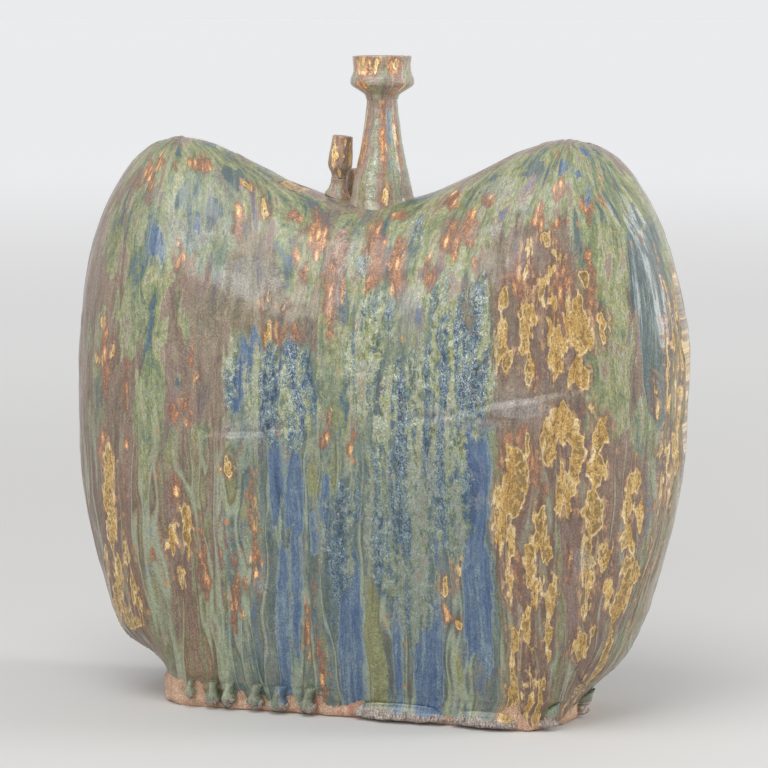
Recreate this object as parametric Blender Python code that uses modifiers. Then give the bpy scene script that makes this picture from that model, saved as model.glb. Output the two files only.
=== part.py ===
# Slab-built stoneware vase: a flat body with two high shoulders on a bare foot,
# a thrown neck with a cup mouth, two small thrown spouts beside it, and glaze
# runs that froze on the foot.
# Metres, +Z up. The origin is the centre of the foot's flat underside, +X points
# to the vase's right end and -Y to its front.

import math

import bpy
import bmesh
import numpy as np
from mathutils import Vector
from mathutils.bvhtree import BVHTree

# Body
BODY_HALF_WIDTH = 0.223
SHOULDER_HEIGHT = 0.402
BELLY_HEIGHT = 0.190
BELLY_HALF_DEPTH = 0.080
SHOULDER_HALF_DEPTH = 0.060
BASE_HALF_DEPTH = 0.053
EDGE_ROUNDING = 0.088
BASE_ROUNDING = 0.012
WALL = 0.009
SEAM_HEIGHT = 0.207
LAP_PROUD = 0.0025
LAP_REACH = 0.045

# Outline of the body seen from the front, anticlockwise from the right end, as
# shares of the half width and of the shoulder height. It runs on below the foot,
# which cuts it flat.
OUTLINE_SHARES = [
    (1.003, 0.58), (0.992, 0.70), (0.943, 0.816), (0.865, 0.912),
    (0.76, 0.980), (0.63, 1.005), (0.47, 0.986), (0.31, 0.942),
    (0.14, 0.902), (0.00, 0.894), (-0.14, 0.900), (-0.30, 0.930),
    (-0.455, 0.971), (-0.64, 1.001), (-0.785, 0.969), (-0.887, 0.891),
    (-0.951, 0.781), (-0.984, 0.648), (-0.998, 0.49), (-0.977, 0.355),
    (-0.911, 0.212), (-0.830, 0.107), (-0.690, 0.052), (-0.60, -0.03),
    (0.00, -0.20), (0.60, -0.03), (0.715, 0.050), (0.828, 0.119),
    (0.917, 0.243), (0.980, 0.395),
]
CENTRE_SHARE = 0.48
RING_SHARE = 0.8

# Foot: a tray whose rim carries the walls
FOOT_HEIGHT = 0.021
FLOOR_THICKNESS = 0.012
FOOT_INSET = 0.0060
FOOT_SHIFT = -0.0048
FOOT_LIP = 0.002
FOOT_EDGE = 0.003

# Neck
NECK_OFFSET = 0.005
NECK_LENGTH = 0.070
NECK_BASE_RADIUS = 0.0225
NECK_TOP_RADIUS = 0.0108
NECK_BASE_BORE = 0.0150
NECK_TOP_BORE = 0.0070
NECK_TAPER_SHARE = 1.25
NECK_STEPS = 6

# Cup mouth on the neck. Its profile gives the size that each point follows, a
# share of that radius and a share of the cup's height.
CUP_SIZES = {"height": 0.030, "rim": 0.0208, "waist": 0.0203, "bulge": 0.0226, "wall": 0.0035}
CUP_OUTER_SHARES = [
    ("rim", 0.97, 1.00), ("rim", 1.00, 0.96), ("waist", 1.00, 0.66), ("waist", 1.03, 0.57),
    ("bulge", 0.99, 0.47), ("bulge", 1.00, 0.37), ("bulge", 0.90, 0.23), ("bulge", 0.70, 0.10),
]
CUP_INNER_SHARES = [("bulge", 0.50, 0.18), ("bulge", 0.96, 0.36), ("waist", 1.00, 0.62)]

# Small spouts, one beside the neck and a shorter one behind it: places from the
# neck's axis, lean in degrees, lengths and radii
SPOUT_SIZES = {
    "side_spout": {
        "offset": -0.034, "depth": 0.004, "lean": 5.5, "stem": 0.012, "height": 0.030,
        "base": 0.0090, "waist": 0.0056, "belly": 0.0089, "rim": 0.0073,
        "bore": 0.0037, "wall": 0.0020},
    "rear_spout": {
        "offset": -0.031, "depth": 0.030, "lean": 0.0, "stem": 0.009, "height": 0.018,
        "base": 0.0085, "waist": 0.0058, "belly": 0.0082, "rim": 0.0076,
        "bore": 0.0037, "wall": 0.0020},
}
STEM_SHARES = [
    ("waist", 1.00, 1.00), ("waist", 1.06, 0.70), ("base", 0.80, 0.33), ("base", 1.00, 0.00),
]
SPOUT_OUTER_SHARES = [
    ("rim", 0.93, 1.00), ("rim", 1.00, 0.96), ("belly", 1.00, 0.38),
    ("belly", 0.98, 0.24), ("belly", 0.82, 0.10),
]
SPOUT_INNER_SHARES = [("belly", 1.00, 0.36)]

# Glaze runs that froze on the foot: places along the front and back, as shares
# of the foot's half width
RUN_PLACE_SHARES = {
    "front_run_1": -0.76, "front_run_2": -0.655, "front_run_3": -0.578,
    "front_run_4": -0.455, "front_run_5": -0.344, "front_run_6": -0.203,
    "front_pool_1": 0.22, "front_pool_2": 0.61,
    "front_run_7": 0.875, "front_run_8": 0.965,
    "back_run_1": -0.74, "back_run_2": -0.42, "back_pool_1": -0.05,
    "back_run_3": 0.33, "back_run_4": 0.66,
}

# Width, thickness, top and bottom of each run
RUN_SIZES = {
    "front_run_1": (0.007, 0.0030, 0.034, 0.0060),
    "front_run_2": (0.012, 0.0045, 0.034, 0.0015),
    "front_run_3": (0.012, 0.0045, 0.034, 0.0015),
    "front_run_4": (0.013, 0.0045, 0.032, 0.0015),
    "front_run_5": (0.016, 0.0060, 0.030, 0.0010),
    "front_run_6": (0.012, 0.0060, 0.030, 0.0010),
    "front_pool_1": (0.066, 0.0060, 0.018, 0.0015),
    "front_pool_2": (0.046, 0.0060, 0.016, 0.0015),
    "front_run_7": (0.017, 0.0085, 0.026, 0.0010),
    "front_run_8": (0.015, 0.0085, 0.026, 0.0010),
    "back_run_1": (0.013, 0.0045, 0.033, 0.0015),
    "back_run_2": (0.012, 0.0045, 0.032, 0.0030),
    "back_pool_1": (0.058, 0.0060, 0.018, 0.0015),
    "back_run_3": (0.013, 0.0045, 0.032, 0.0015),
    "back_run_4": (0.011, 0.0040, 0.034, 0.0040),
}
RUN_TAPER_SHARE = 0.45

# Fits and mesh counts
CLEARANCE = 0.0003
OVERRUN = 0.020
WELD = 0.00001
AROUND = 64
RINGS = 20
NECK_TURNS = 36
SPOUT_TURNS = 20
RUN_TURNS = 12
RUN_RINGS = 8
SMOOTH_ANGLE = 35

CENTRE_Z = SHOULDER_HEIGHT * CENTRE_SHARE

# Colour, roughness and metallic value of each finish
FINISHES = {
    "clay": ((0.56, 0.33, 0.22), 0.85, 0.0),
    "upper_glaze": ((0.22, 0.26, 0.22), 0.28, 0.0),
    "lower_glaze": ((0.16, 0.24, 0.30), 0.25, 0.0),
    "neck_glaze": ((0.38, 0.33, 0.22), 0.28, 0.0),
    "spout_glaze": ((0.45, 0.32, 0.12), 0.30, 0.0),
    "run_glaze": ((0.32, 0.31, 0.28), 0.60, 0.0),
}


def clear_scene():
    for old in list(bpy.data.objects):
        bpy.data.objects.remove(old, do_unlink=True)


def new_collection(name):
    collection = bpy.data.collections.new(name)
    bpy.context.scene.collection.children.link(collection)
    return collection


def add_material(obj, finish):
    colour, roughness, metallic = FINISHES[finish]
    material = bpy.data.materials.new(obj.name)
    material.use_nodes = True
    shader = material.node_tree.nodes["Principled BSDF"]
    shader.inputs["Base Color"].default_value = (*colour, 1)
    shader.inputs["Roughness"].default_value = roughness
    shader.inputs["Metallic"].default_value = metallic
    obj.data.materials.append(material)


def add_piece(name, bm, collection, finish):
    mesh = bpy.data.meshes.new(name)
    bm.to_mesh(mesh)
    bm.free()
    mesh.shade_smooth()
    mesh.set_sharp_from_angle(angle=math.radians(SMOOTH_ANGLE))
    piece = bpy.data.objects.new(name, mesh)
    collection.objects.link(piece)
    add_material(piece, finish)
    return piece


def add_cutter(name, bm, collection):
    mesh = bpy.data.meshes.new(name)
    bm.to_mesh(mesh)
    bm.free()
    cutter = bpy.data.objects.new(name, mesh)
    cutter.hide_render = True
    cutter.display_type = "WIRE"
    collection.objects.link(cutter)
    return cutter


def add_boolean(piece, cutter, operation="DIFFERENCE"):
    modifier = piece.modifiers.new(cutter.name, "BOOLEAN")
    modifier.object = cutter
    modifier.operation = operation
    modifier.solver = "EXACT"


# Form of the body

def closed_curve(points, steps):
    # Smooth closed curve through the points, with its steps evenly spaced
    before = np.roll(points, 1, axis=0)
    after = np.roll(points, -1, axis=0)
    beyond = np.roll(points, -2, axis=0)
    stretches = []
    for t in np.linspace(0, 1, 12, endpoint=False):
        stretches.append(
            points + 0.5 * t * (after - before)
            + t ** 2 * (before - 2.5 * points + 2 * after - 0.5 * beyond)
            + 0.5 * t ** 3 * (3 * points - before - 3 * after + beyond))
    curve = np.stack(stretches, axis=1).reshape(-1, 2)
    closed = np.vstack([curve, curve[:1]])
    lengths = np.hypot(*np.diff(closed, axis=0).T)
    along = np.concatenate([[0], np.cumsum(lengths)])
    places = np.linspace(0, along[-1], steps, endpoint=False)
    return np.stack([np.interp(places, along, closed[:, k]) for k in (0, 1)], axis=1)


def body_outline(steps):
    sizes = np.array((BODY_HALF_WIDTH, SHOULDER_HEIGHT))
    return closed_curve(np.array(OUTLINE_SHARES) * sizes, steps)


def distance_to_outline(points):
    starts = body_outline(AROUND * 4)
    runs = np.roll(starts, -1, axis=0) - starts
    gaps = points[:, None, :] - starts[None, :, :]
    along = np.clip((gaps * runs).sum(-1) / (runs * runs).sum(-1), 0, 1)
    return np.linalg.norm(gaps - along[..., None] * runs, axis=-1).min(axis=1)


def size_at_height(z, at_base, at_belly, at_shoulder):
    # One parabola from the belly down to the base, another up to the shoulders
    below = np.clip((BELLY_HEIGHT - z) / BELLY_HEIGHT, 0, None)
    above = np.clip((z - BELLY_HEIGHT) / (SHOULDER_HEIGHT - BELLY_HEIGHT), 0, None)
    return at_belly + (at_base - at_belly) * below ** 2 + (at_shoulder - at_belly) * above ** 2


def half_depth(points):
    # Half the body's thickness at points of the front view: full inside, and
    # rounded off like a quarter ellipse towards the outline
    z = np.clip(points[:, 1], 0, None)
    rounding = size_at_height(z, BASE_ROUNDING, EDGE_ROUNDING, EDGE_ROUNDING)
    full = size_at_height(z, BASE_HALF_DEPTH, BELLY_HALF_DEPTH, SHOULDER_HALF_DEPTH)
    share = np.clip(distance_to_outline(points) / rounding, 0, 1)
    return full * np.sqrt(1 - (1 - share) ** 2)


def body_form(swell=0.0, lap=0.0):
    # Pillow shape of the body: a ball laid on its side, whose equator becomes the
    # outline. The lap stands proud just below the seam, on the front and back.
    bm = bmesh.new()
    bmesh.ops.create_uvsphere(bm, u_segments=AROUND, v_segments=RINGS, radius=1)
    outline = body_outline(AROUND)
    centre = np.array((NECK_OFFSET, CENTRE_Z))
    places = []
    for vert in bm.verts:
        turn = math.atan2(vert.co.y, vert.co.x) / math.tau
        edge = outline[round(turn * AROUND) % AROUND]
        ring = max(0, 1 - vert.co.z ** 2) ** (RING_SHARE / 2)
        places.append(centre + ring * (edge - centre))
    depths = half_depth(np.array(places))
    for vert, place, depth in zip(bm.verts, places, depths):
        side = -math.copysign(1, vert.co.z)
        on_outline = abs(vert.co.z) < 1 / AROUND ** 2
        vert.co = (place[0], 0 if on_outline else side * depth, place[1])
    bmesh.ops.recalc_face_normals(bm, faces=bm.faces)
    bmesh.ops.triangulate(bm, faces=bm.faces, quad_method="FIXED")
    bm.normal_update()
    for vert in bm.verts:
        fade = min(max(1 - (SEAM_HEIGHT - vert.co.z) / LAP_REACH, 0), 1)
        vert.co += vert.normal * (swell + lap * fade * vert.normal.y ** 2)
    return bm


def seat_form():
    # What pieces that sit on the body are cut back to: its form above the foot
    bm = body_form(swell=CLEARANCE, lap=LAP_PROUD)
    cut = bmesh.ops.bisect_plane(
        bm, geom=bm.verts[:] + bm.edges[:] + bm.faces[:],
        plane_co=(0, 0, FOOT_HEIGHT), plane_no=(0, 0, -1), clear_outer=True)
    rim = [item for item in cut["geom_cut"] if isinstance(item, bmesh.types.BMEdge)]
    bmesh.ops.contextual_create(bm, geom=rim)
    return bm


def surface_height(form_tree, x, y):
    # Height of the body's top at a place of the plan
    start = Vector((x, y, SHOULDER_HEIGHT + OVERRUN))
    return form_tree.ray_cast(start, Vector((0, 0, -1)))[0].z


def foot_plan(inset):
    # Loop round the body where it meets the foot, drawn in by the inset
    outline = body_outline(AROUND * 4)
    by_level = outline[np.argsort(abs(outline[:, 1] - FOOT_HEIGHT))]
    right = by_level[by_level[:, 0] > 0][0, 0]
    left = by_level[by_level[:, 0] < 0][0, 0]
    middle = (left + right) / 2
    half = (right - left) / 2
    turns = np.arange(AROUND) * math.tau / AROUND
    level = np.full(AROUND, FOOT_HEIGHT)
    depth = half_depth(np.stack([middle + half * np.cos(turns), level], axis=1))
    x = middle + FOOT_SHIFT + (half - inset) * np.cos(turns)
    y = np.clip(depth - inset * abs(np.sin(turns)), 0, None) * np.sign(np.sin(turns))
    y[::AROUND // 2] = 0
    return np.stack([x, y], axis=1)


def stack_loops(levels):
    # Solid through closed loops of as many points, one above the other
    bm = bmesh.new()
    rings = []
    for z, loop in levels:
        rings.append([bm.verts.new((x, y, z)) for x, y in loop])
    for below, above in zip(rings, rings[1:]):
        for k in range(len(below)):
            following = (k + 1) % len(below)
            bm.faces.new((below[k], below[following], above[following], above[k]))
    bmesh.ops.triangulate(bm, faces=bm.faces, quad_method="FIXED")
    bm.faces.new(rings[0][::-1])
    bm.faces.new(rings[-1])
    return bm


def foot_form(swell=0.0):
    lip = FOOT_INSET - FOOT_LIP - swell
    return stack_loops([
        (-swell, foot_plan(lip + FOOT_EDGE)),
        (FOOT_EDGE, foot_plan(lip)),
        (FOOT_HEIGHT + swell, foot_plan(FOOT_INSET - swell)),
    ])


# Cutters

def add_box(name, low, high, collection):
    bm = bmesh.new()
    bmesh.ops.create_cube(bm, size=1)
    low = Vector(low)
    high = Vector(high)
    bmesh.ops.scale(bm, vec=high - low, verts=bm.verts)
    bmesh.ops.translate(bm, vec=(low + high) / 2, verts=bm.verts)
    return add_cutter(name, bm, collection)


def add_bore(name, radius, place, segments, collection):
    bm = bmesh.new()
    bmesh.ops.create_cone(
        bm, cap_ends=True, segments=segments, radius1=radius, radius2=radius,
        depth=2 * (WALL + OVERRUN))
    bmesh.ops.translate(bm, vec=place, verts=bm.verts)
    return add_cutter(name, bm, collection)


# Pieces

def make_foot(parts, cutters):
    foot = add_piece("foot_slab", foot_form(), parts, "clay")
    inside = foot_plan(FOOT_INSET + WALL)
    well = stack_loops([(FLOOR_THICKNESS, inside), (FOOT_HEIGHT + OVERRUN, inside)])
    add_boolean(foot, add_cutter("foot_well", well, cutters))


def make_wall(side, level, span, parts, cutters):
    # One slab wall: the body's shell, kept on one side and between two heights
    name = side + "_" + level + "_wall"
    form = body_form(lap=LAP_PROUD if level == "lower" else 0)
    wall = add_piece(name, form, parts, level + "_glaze")
    shell = wall.modifiers.new("shell", "SOLIDIFY")
    shell.thickness = WALL
    shell.offset = -1
    shell.use_even_offset = True
    gap = CLEARANCE / 2
    depth = BELLY_HALF_DEPTH + OVERRUN
    near, far = (-depth, -gap) if side == "front" else (gap, depth)
    reach = BODY_HALF_WIDTH + OVERRUN
    keep = add_box(name + "_box", (-reach, near, span[0]), (reach, far, span[1]), cutters)
    add_boolean(wall, keep, "INTERSECT")
    return wall


def make_walls(parts, cutters, passages):
    gap = CLEARANCE / 2
    spans = {
        "lower": (FOOT_HEIGHT + CLEARANCE, SEAM_HEIGHT - gap),
        "upper": (SEAM_HEIGHT + gap, SHOULDER_HEIGHT + OVERRUN),
    }
    for level, span in spans.items():
        for side in ("front", "back"):
            wall = make_wall(side, level, span, parts, cutters)
            if level == "upper":
                for passage in passages:
                    add_boolean(wall, passage)


def turn_profile(name, profile, place, lean, segments, parts, finish):
    # Turned piece from a closed profile that runs down its outer side
    bm = bmesh.new()
    verts = [bm.verts.new((radius, 0, height)) for radius, height in profile]
    for k in range(len(verts)):
        bm.edges.new((verts[k], verts[(k + 1) % len(verts)]))
    piece = add_piece(name, bm, parts, finish)
    piece.location = place
    piece.rotation_euler = (0, math.radians(lean), 0)
    screw = piece.modifiers.new("turn", "SCREW")
    screw.steps = segments
    screw.render_steps = segments
    screw.use_merge_vertices = True
    screw.merge_threshold = WELD
    screw.use_smooth_shade = True
    return piece


def share_profile(shares, sizes, length, wall=0.0):
    # Points of a turned profile, drawn in by the wall for an inner side
    return [(sizes[size] * radius - wall, length * height) for size, radius, height in shares]


def make_neck(place, parts, seat):
    taper = np.linspace(0, 1, NECK_STEPS) ** NECK_TAPER_SHARE
    heights = np.linspace(NECK_LENGTH, 0, NECK_STEPS)
    outer = NECK_TOP_RADIUS + (NECK_BASE_RADIUS - NECK_TOP_RADIUS) * taper
    inner = NECK_TOP_BORE + (NECK_BASE_BORE - NECK_TOP_BORE) * taper
    tail = -NECK_BASE_RADIUS
    profile = list(zip(outer, heights))
    profile += [(NECK_BASE_RADIUS, tail), (NECK_BASE_BORE, tail)]
    profile += list(zip(inner, heights))[::-1]
    neck = turn_profile("neck_tube", profile, place, 0, NECK_TURNS, parts, "neck_glaze")
    add_boolean(neck, seat)


def make_cup(place, parts):
    height = CUP_SIZES["height"]
    wall = CUP_SIZES["wall"]
    mouth = CUP_SIZES["rim"] - wall
    profile = share_profile(CUP_OUTER_SHARES, CUP_SIZES, height)
    profile += [(NECK_TOP_RADIUS, CLEARANCE), (NECK_TOP_BORE, CLEARANCE)]
    profile += share_profile(CUP_INNER_SHARES, CUP_SIZES, height, wall)
    profile += [(mouth, height)]
    turn_profile("neck_cup", profile, place, 0, NECK_TURNS, parts, "neck_glaze")


def make_spout(name, place, parts, seat):
    sizes = SPOUT_SIZES[name]
    stem = sizes["stem"]
    bore = sizes["bore"]
    mouth = sizes["rim"] - sizes["wall"]
    tail = -sizes["base"]
    stem_profile = share_profile(STEM_SHARES, sizes, stem)
    stem_profile += [(sizes["base"], tail), (bore, tail), (bore, stem)]
    cup_profile = share_profile(SPOUT_OUTER_SHARES, sizes, sizes["height"])
    cup_profile += [(sizes["waist"], CLEARANCE), (bore, CLEARANCE), (bore, sizes["wall"])]
    cup_profile += share_profile(SPOUT_INNER_SHARES, sizes, sizes["height"], sizes["wall"])
    cup_profile += [(mouth, sizes["height"])]
    cup_profile = [(radius, stem + height) for radius, height in cup_profile]
    lean = sizes["lean"]
    stem_piece = turn_profile(
        name + "_stem", stem_profile, place, lean, SPOUT_TURNS, parts, "spout_glaze")
    add_boolean(stem_piece, seat)
    turn_profile(name + "_cup", cup_profile, place, lean, SPOUT_TURNS, parts, "spout_glaze")


def make_run(name, share, parts, seats):
    # A drop with its bulb at the bottom, fitted to the wall and foot behind it
    width, thickness, top, bottom = RUN_SIZES[name]
    side = -1 if name.startswith("front") else 1
    edge = foot_plan(0)[:, 0]
    x = (edge.max() + edge.min()) / 2 + share * (edge.max() - edge.min()) / 2
    y = side * half_depth(np.array([(x, FOOT_HEIGHT)]))[0]
    bm = bmesh.new()
    bmesh.ops.create_uvsphere(bm, u_segments=RUN_TURNS, v_segments=RUN_RINGS, radius=1)
    for vert in bm.verts:
        slim = 1 - RUN_TAPER_SHARE * max(vert.co.z, 0)
        vert.co.x = x + vert.co.x * slim * width / 2
        vert.co.y = y + vert.co.y * slim * (thickness + FOOT_LIP)
        vert.co.z = (top + bottom) / 2 + vert.co.z * (top - bottom) / 2
    run = add_piece(name, bm, parts, "run_glaze")
    for seat in seats:
        add_boolean(run, seat)


def main():
    clear_scene()
    parts = new_collection("vase")
    cutters = new_collection("cutters")
    form = body_form()
    form_tree = BVHTree.FromBMesh(form)
    form.free()
    body_seat = add_cutter("body_seat", seat_form(), cutters)
    foot_seat = add_cutter("foot_seat", foot_form(swell=CLEARANCE), cutters)

    saddle = surface_height(form_tree, NECK_OFFSET, 0)
    neck_place = (NECK_OFFSET, 0, saddle)
    passages = [add_bore("neck_passage", NECK_BASE_BORE, neck_place, NECK_TURNS, cutters)]
    spout_places = {}
    for name, sizes in SPOUT_SIZES.items():
        x = NECK_OFFSET + sizes["offset"]
        y = sizes["depth"]
        place = (x, y, surface_height(form_tree, x, y))
        spout_places[name] = place
        passages.append(add_bore(name + "_passage", sizes["bore"], place, SPOUT_TURNS, cutters))

    make_foot(parts, cutters)
    make_walls(parts, cutters, passages)
    make_neck(neck_place, parts, body_seat)
    make_cup((NECK_OFFSET, 0, saddle + NECK_LENGTH), parts)
    for name, place in spout_places.items():
        make_spout(name, place, parts, body_seat)
    for name, share in RUN_PLACE_SHARES.items():
        make_run(name, share, parts, (body_seat, foot_seat))


main()
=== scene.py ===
import math

import bpy
import numpy as np
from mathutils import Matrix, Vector


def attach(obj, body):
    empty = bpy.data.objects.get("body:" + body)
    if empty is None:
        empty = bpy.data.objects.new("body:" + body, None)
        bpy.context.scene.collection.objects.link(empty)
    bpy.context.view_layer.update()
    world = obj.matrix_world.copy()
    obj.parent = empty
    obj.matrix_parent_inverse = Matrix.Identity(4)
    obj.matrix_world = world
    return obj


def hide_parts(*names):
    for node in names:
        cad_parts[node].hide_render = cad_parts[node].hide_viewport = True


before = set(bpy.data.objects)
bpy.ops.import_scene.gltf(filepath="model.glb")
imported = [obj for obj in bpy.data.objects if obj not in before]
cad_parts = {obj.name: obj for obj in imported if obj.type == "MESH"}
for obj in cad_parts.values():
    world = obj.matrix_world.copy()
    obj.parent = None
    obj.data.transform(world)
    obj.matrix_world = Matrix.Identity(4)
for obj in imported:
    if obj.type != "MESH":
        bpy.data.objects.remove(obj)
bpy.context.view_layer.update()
print("frame loaded")

# The body's form, in metres. The outline is in shares of the half width and the
# shoulder height, and goes round the front view from the right end.
body = {
    "halfWidth": 0.223, "shoulder": 0.402, "belly": 0.19,
    "bellyDepth": 0.08, "shoulderDepth": 0.06, "baseDepth": 0.053,
    "edgeRounding": 0.088, "baseRounding": 0.012, "bottom": 0.0211, "wall": 0.009,
    "columns": 331, "rows": 285, "coarse": 5, "step": 0.002, "inset": 0.0009, "easing": (0.012, 0.016),
    "neckX": 0.005, "neckHole": 0.0125, "rightLimit": 0.223, "overLimit": 0.6,
    "blend": 40, "blendGap": (0.08, 0.03),
    "outline": [
        (1.003, 0.58), (0.992, 0.7), (0.943, 0.816), (0.865, 0.912), (0.76, 0.98),
        (0.63, 1.005), (0.47, 0.986), (0.31, 0.942), (0.14, 0.902), (0.00, 0.894),
        (-0.14, 0.9), (-0.3, 0.93), (-0.455, 0.971), (-0.64, 1.001), (-0.785, 0.969),
        (-0.887, 0.891), (-0.951, 0.781), (-0.984, 0.648), (-0.998, 0.49), (-0.977, 0.355),
        (-0.911, 0.212), (-0.83, 0.107), (-0.69, 0.052), (-0.6, -0.03), (0.00, -0.2),
        (0.6, -0.03), (0.715, 0.05), (0.828, 0.119), (0.917, 0.243), (0.98, 0.395)],
}


def lengthAlong(*axes):  # distance from the start along a line of points
    steps = np.hypot(*(np.diff(values) for values in axes))
    return np.concatenate([np.zeros((*steps.shape[:-1], 1)), np.cumsum(steps, axis=-1)], axis=-1)


def evenLoop(points, count):  # even steps round a closed line
    closed = np.vstack([points, points[:1]])
    along = lengthAlong(*closed.T)
    places = np.linspace(0, along[-1], count, endpoint=False)
    return np.stack([np.interp(places, along, values) for values in closed.T], axis=1)


def smoothLoop(points, count):  # evenly spaced points on a smooth closed curve
    before, after, beyond = (np.roll(points, k, axis=0) for k in (1, -1, -2))
    parts = []
    for t in np.linspace(0, 1, 12, endpoint=False):
        parts.append(points + 0.5 * t * (after - before)
                     + t ** 2 * (before - 2.5 * points + 2 * after - 0.5 * beyond)
                     + 0.5 * t ** 3 * (3 * points - before - 3 * after + beyond))
    return evenLoop(np.stack(parts, axis=1).reshape(-1, 2), count)


edge = smoothLoop(np.array(body["outline"]) * (body["halfWidth"], body["shoulder"]), 256)


def edgeDistance(x, z):
    points = np.stack([x.ravel(), z.ravel()], axis=1)
    runs = np.roll(edge, -1, axis=0) - edge
    near = np.empty(len(points))
    for start in range(0, len(points), 20000):
        gaps = points[start:start + 20000, None] - edge[None]
        along = np.clip((gaps * runs).sum(-1) / (runs * runs).sum(-1), 0, 1)
        near[start:start + 20000] = np.linalg.norm(gaps - along[..., None] * runs, axis=-1).min(1)
    return near.reshape(x.shape)


def insideOutline(x, z):
    inside = np.zeros(x.shape, bool)
    for (ax, az), (bx, bz) in zip(edge, np.roll(edge, -1, axis=0)):
        if az != bz:
            crosses = (az > z) != (bz > z)
            inside ^= crosses & (x < ax + (z - az) / (bz - az) * (bx - ax))
    return inside


def sizeAt(z, atBase, atBelly, atShoulder):
    below = np.clip((body["belly"] - z) / body["belly"], 0, None)
    above = np.clip((z - body["belly"]) / (body["shoulder"] - body["belly"]), 0, None)
    return atBelly + (atBase - atBelly) * below ** 2 + (atShoulder - atBelly) * above ** 2


def plainDepth(x, z):  # half the thickness at a place of the front view
    high = np.clip(z, 0, None)
    rounding = sizeAt(high, body["baseRounding"], body["edgeRounding"], body["edgeRounding"])
    full = sizeAt(high, body["baseDepth"], body["bellyDepth"], body["shoulderDepth"])
    share = np.clip(edgeDistance(x, z) / rounding, 0, 1)
    return full * np.sqrt(1 - (1 - share) ** 2)


def blur(values, passes):
    for _ in range(passes):
        values = (values + np.roll(values, 1, 0) + np.roll(values, -1, 0)) / 3
        values = (values + np.roll(values, 1, 1) + np.roll(values, -1, 1)) / 3
    return values


gridX = np.arange(-0.235, 0.2351, body["step"])
gridZ = np.arange(0.0, 0.4201, body["step"])
meshX, meshZ = np.meshgrid(gridX, gridZ)
insideGrid = insideOutline(meshX, meshZ)
gridDepth = np.where(insideGrid, plainDepth(meshX, meshZ), 0)
easing = np.clip((edgeDistance(meshX, meshZ) - body["easing"][0]) / body["easing"][1], 0, 1) * insideGrid
easing *= blur(gridDepth, 8) - gridDepth  # takes the crease off the shoulders' crests


def sample(values, row, column):  # reads a grid between its places
    row, column = (np.clip(p, 0, count - 1.001) for p, count in zip((row, column), values.shape))
    j, i = row.astype(int), column.astype(int)
    u, v = column - i, row - j
    low = values[j, i] * (1 - u) + values[j, i + 1] * u
    high = values[j + 1, i] * (1 - u) + values[j + 1, i + 1] * u
    return low * (1 - v) + high * v


def onGrid(values, x, z):
    return sample(values, (z - gridZ[0]) / body["step"], (x - gridX[0]) / body["step"])


def depthAt(x, z):
    return plainDepth(x, z) + onGrid(easing, x, z)


# Glaze runs down the steepest way. Each place gets the point of the belly line
# that its run crosses, and its distance below that line along the run.
def flowMap():
    depth = gridDepth + easing
    riseZ, riseX = np.gradient(depth, body["step"])
    slope = -riseX * riseZ / (1 + riseX ** 2)
    across, along = np.zeros_like(depth), np.zeros_like(depth)
    across[:] = gridX
    for way in (1, -1):
        row = int(round((body["belly"] - gridZ[0]) / body["step"]))
        while 0 <= row + way < len(gridZ):
            new = row + way
            source = gridX - way * slope[new] * body["step"]
            moved = (gridX - source) ** 2 + (depth[new] - np.interp(source, gridX, depth[row])) ** 2
            across[new] = np.interp(source, gridX, across[row])
            along[new] = np.interp(source, gridX, along[row]) - way * np.sqrt(body["step"] ** 2 + moved)
            row = new
    return across, along


def bellyEnd(sign):
    side = edge[edge[:, 0] * sign > 0.15]
    side = side[np.argsort(side[:, 1])]
    return np.interp(body["belly"], side[:, 1], side[:, 0])


flowAcross, flowAlong = flowMap()
ends = bellyEnd(-1), bellyEnd(1)
bellyX = (ends[0] + ends[1]) / 2 - np.cos(np.linspace(0, math.pi, 721)) * (ends[1] - ends[0]) / 2
bellyY = plainDepth(bellyX, np.full_like(bellyX, body["belly"]))
bellyY[[0, -1]] = 0
girth = lengthAlong(bellyX, bellyY)
girth -= np.interp(0, bellyX, girth)
leftGirth, rightGirth = -girth[0], girth[-1]
wholeGirth = 2 * (leftGirth + rightGirth)


def flowAt(x, z):  # metres round the belly from the front's middle, and down the run
    u = np.clip(onGrid(flowAcross, x, z), *ends)
    return np.interp(u, bellyX, girth), onGrid(flowAlong, x, z)


def toBack(s):
    return np.where(s > 0, 2 * rightGirth - s, -2 * leftGirth - s)


def wrapped(s, t, around=None):  # the same place on a cylinder, for noise that meets itself
    radius = (around or wholeGirth) / math.tau
    return np.stack([radius * np.sin(s / radius), -radius * np.cos(s / radius), -t], axis=-1)


class Lattice:  # soft noise from 0 to 1, the same at every run
    def __init__(self, seed):
        self.values = np.random.default_rng(seed).random((32, 32, 32))

    def __call__(self, places, size, stretch=1.0):
        p = places / size
        p = p / np.array([1, 1, stretch])
        base = np.floor(p).astype(int)
        f = p - base
        f = f * f * (3 - 2 * f)
        total = 0
        for corner in np.ndindex(2, 2, 2):
            index = (base + corner) % 32
            share = np.prod(np.where(np.array(corner) == 1, f, 1 - f), axis=-1)
            total = total + self.values[index[..., 0], index[..., 1], index[..., 2]] * share
        return total


noiseA, noiseB, noiseC = Lattice(3), Lattice(7), Lattice(11)


def smooth(low, high, values):
    f = np.clip((values - low) / (high - low), 0, 1)
    return f * f * (3 - 2 * f)


# How far round a patch its field is worked out, in millimetres
fieldReach = 12.0

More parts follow.
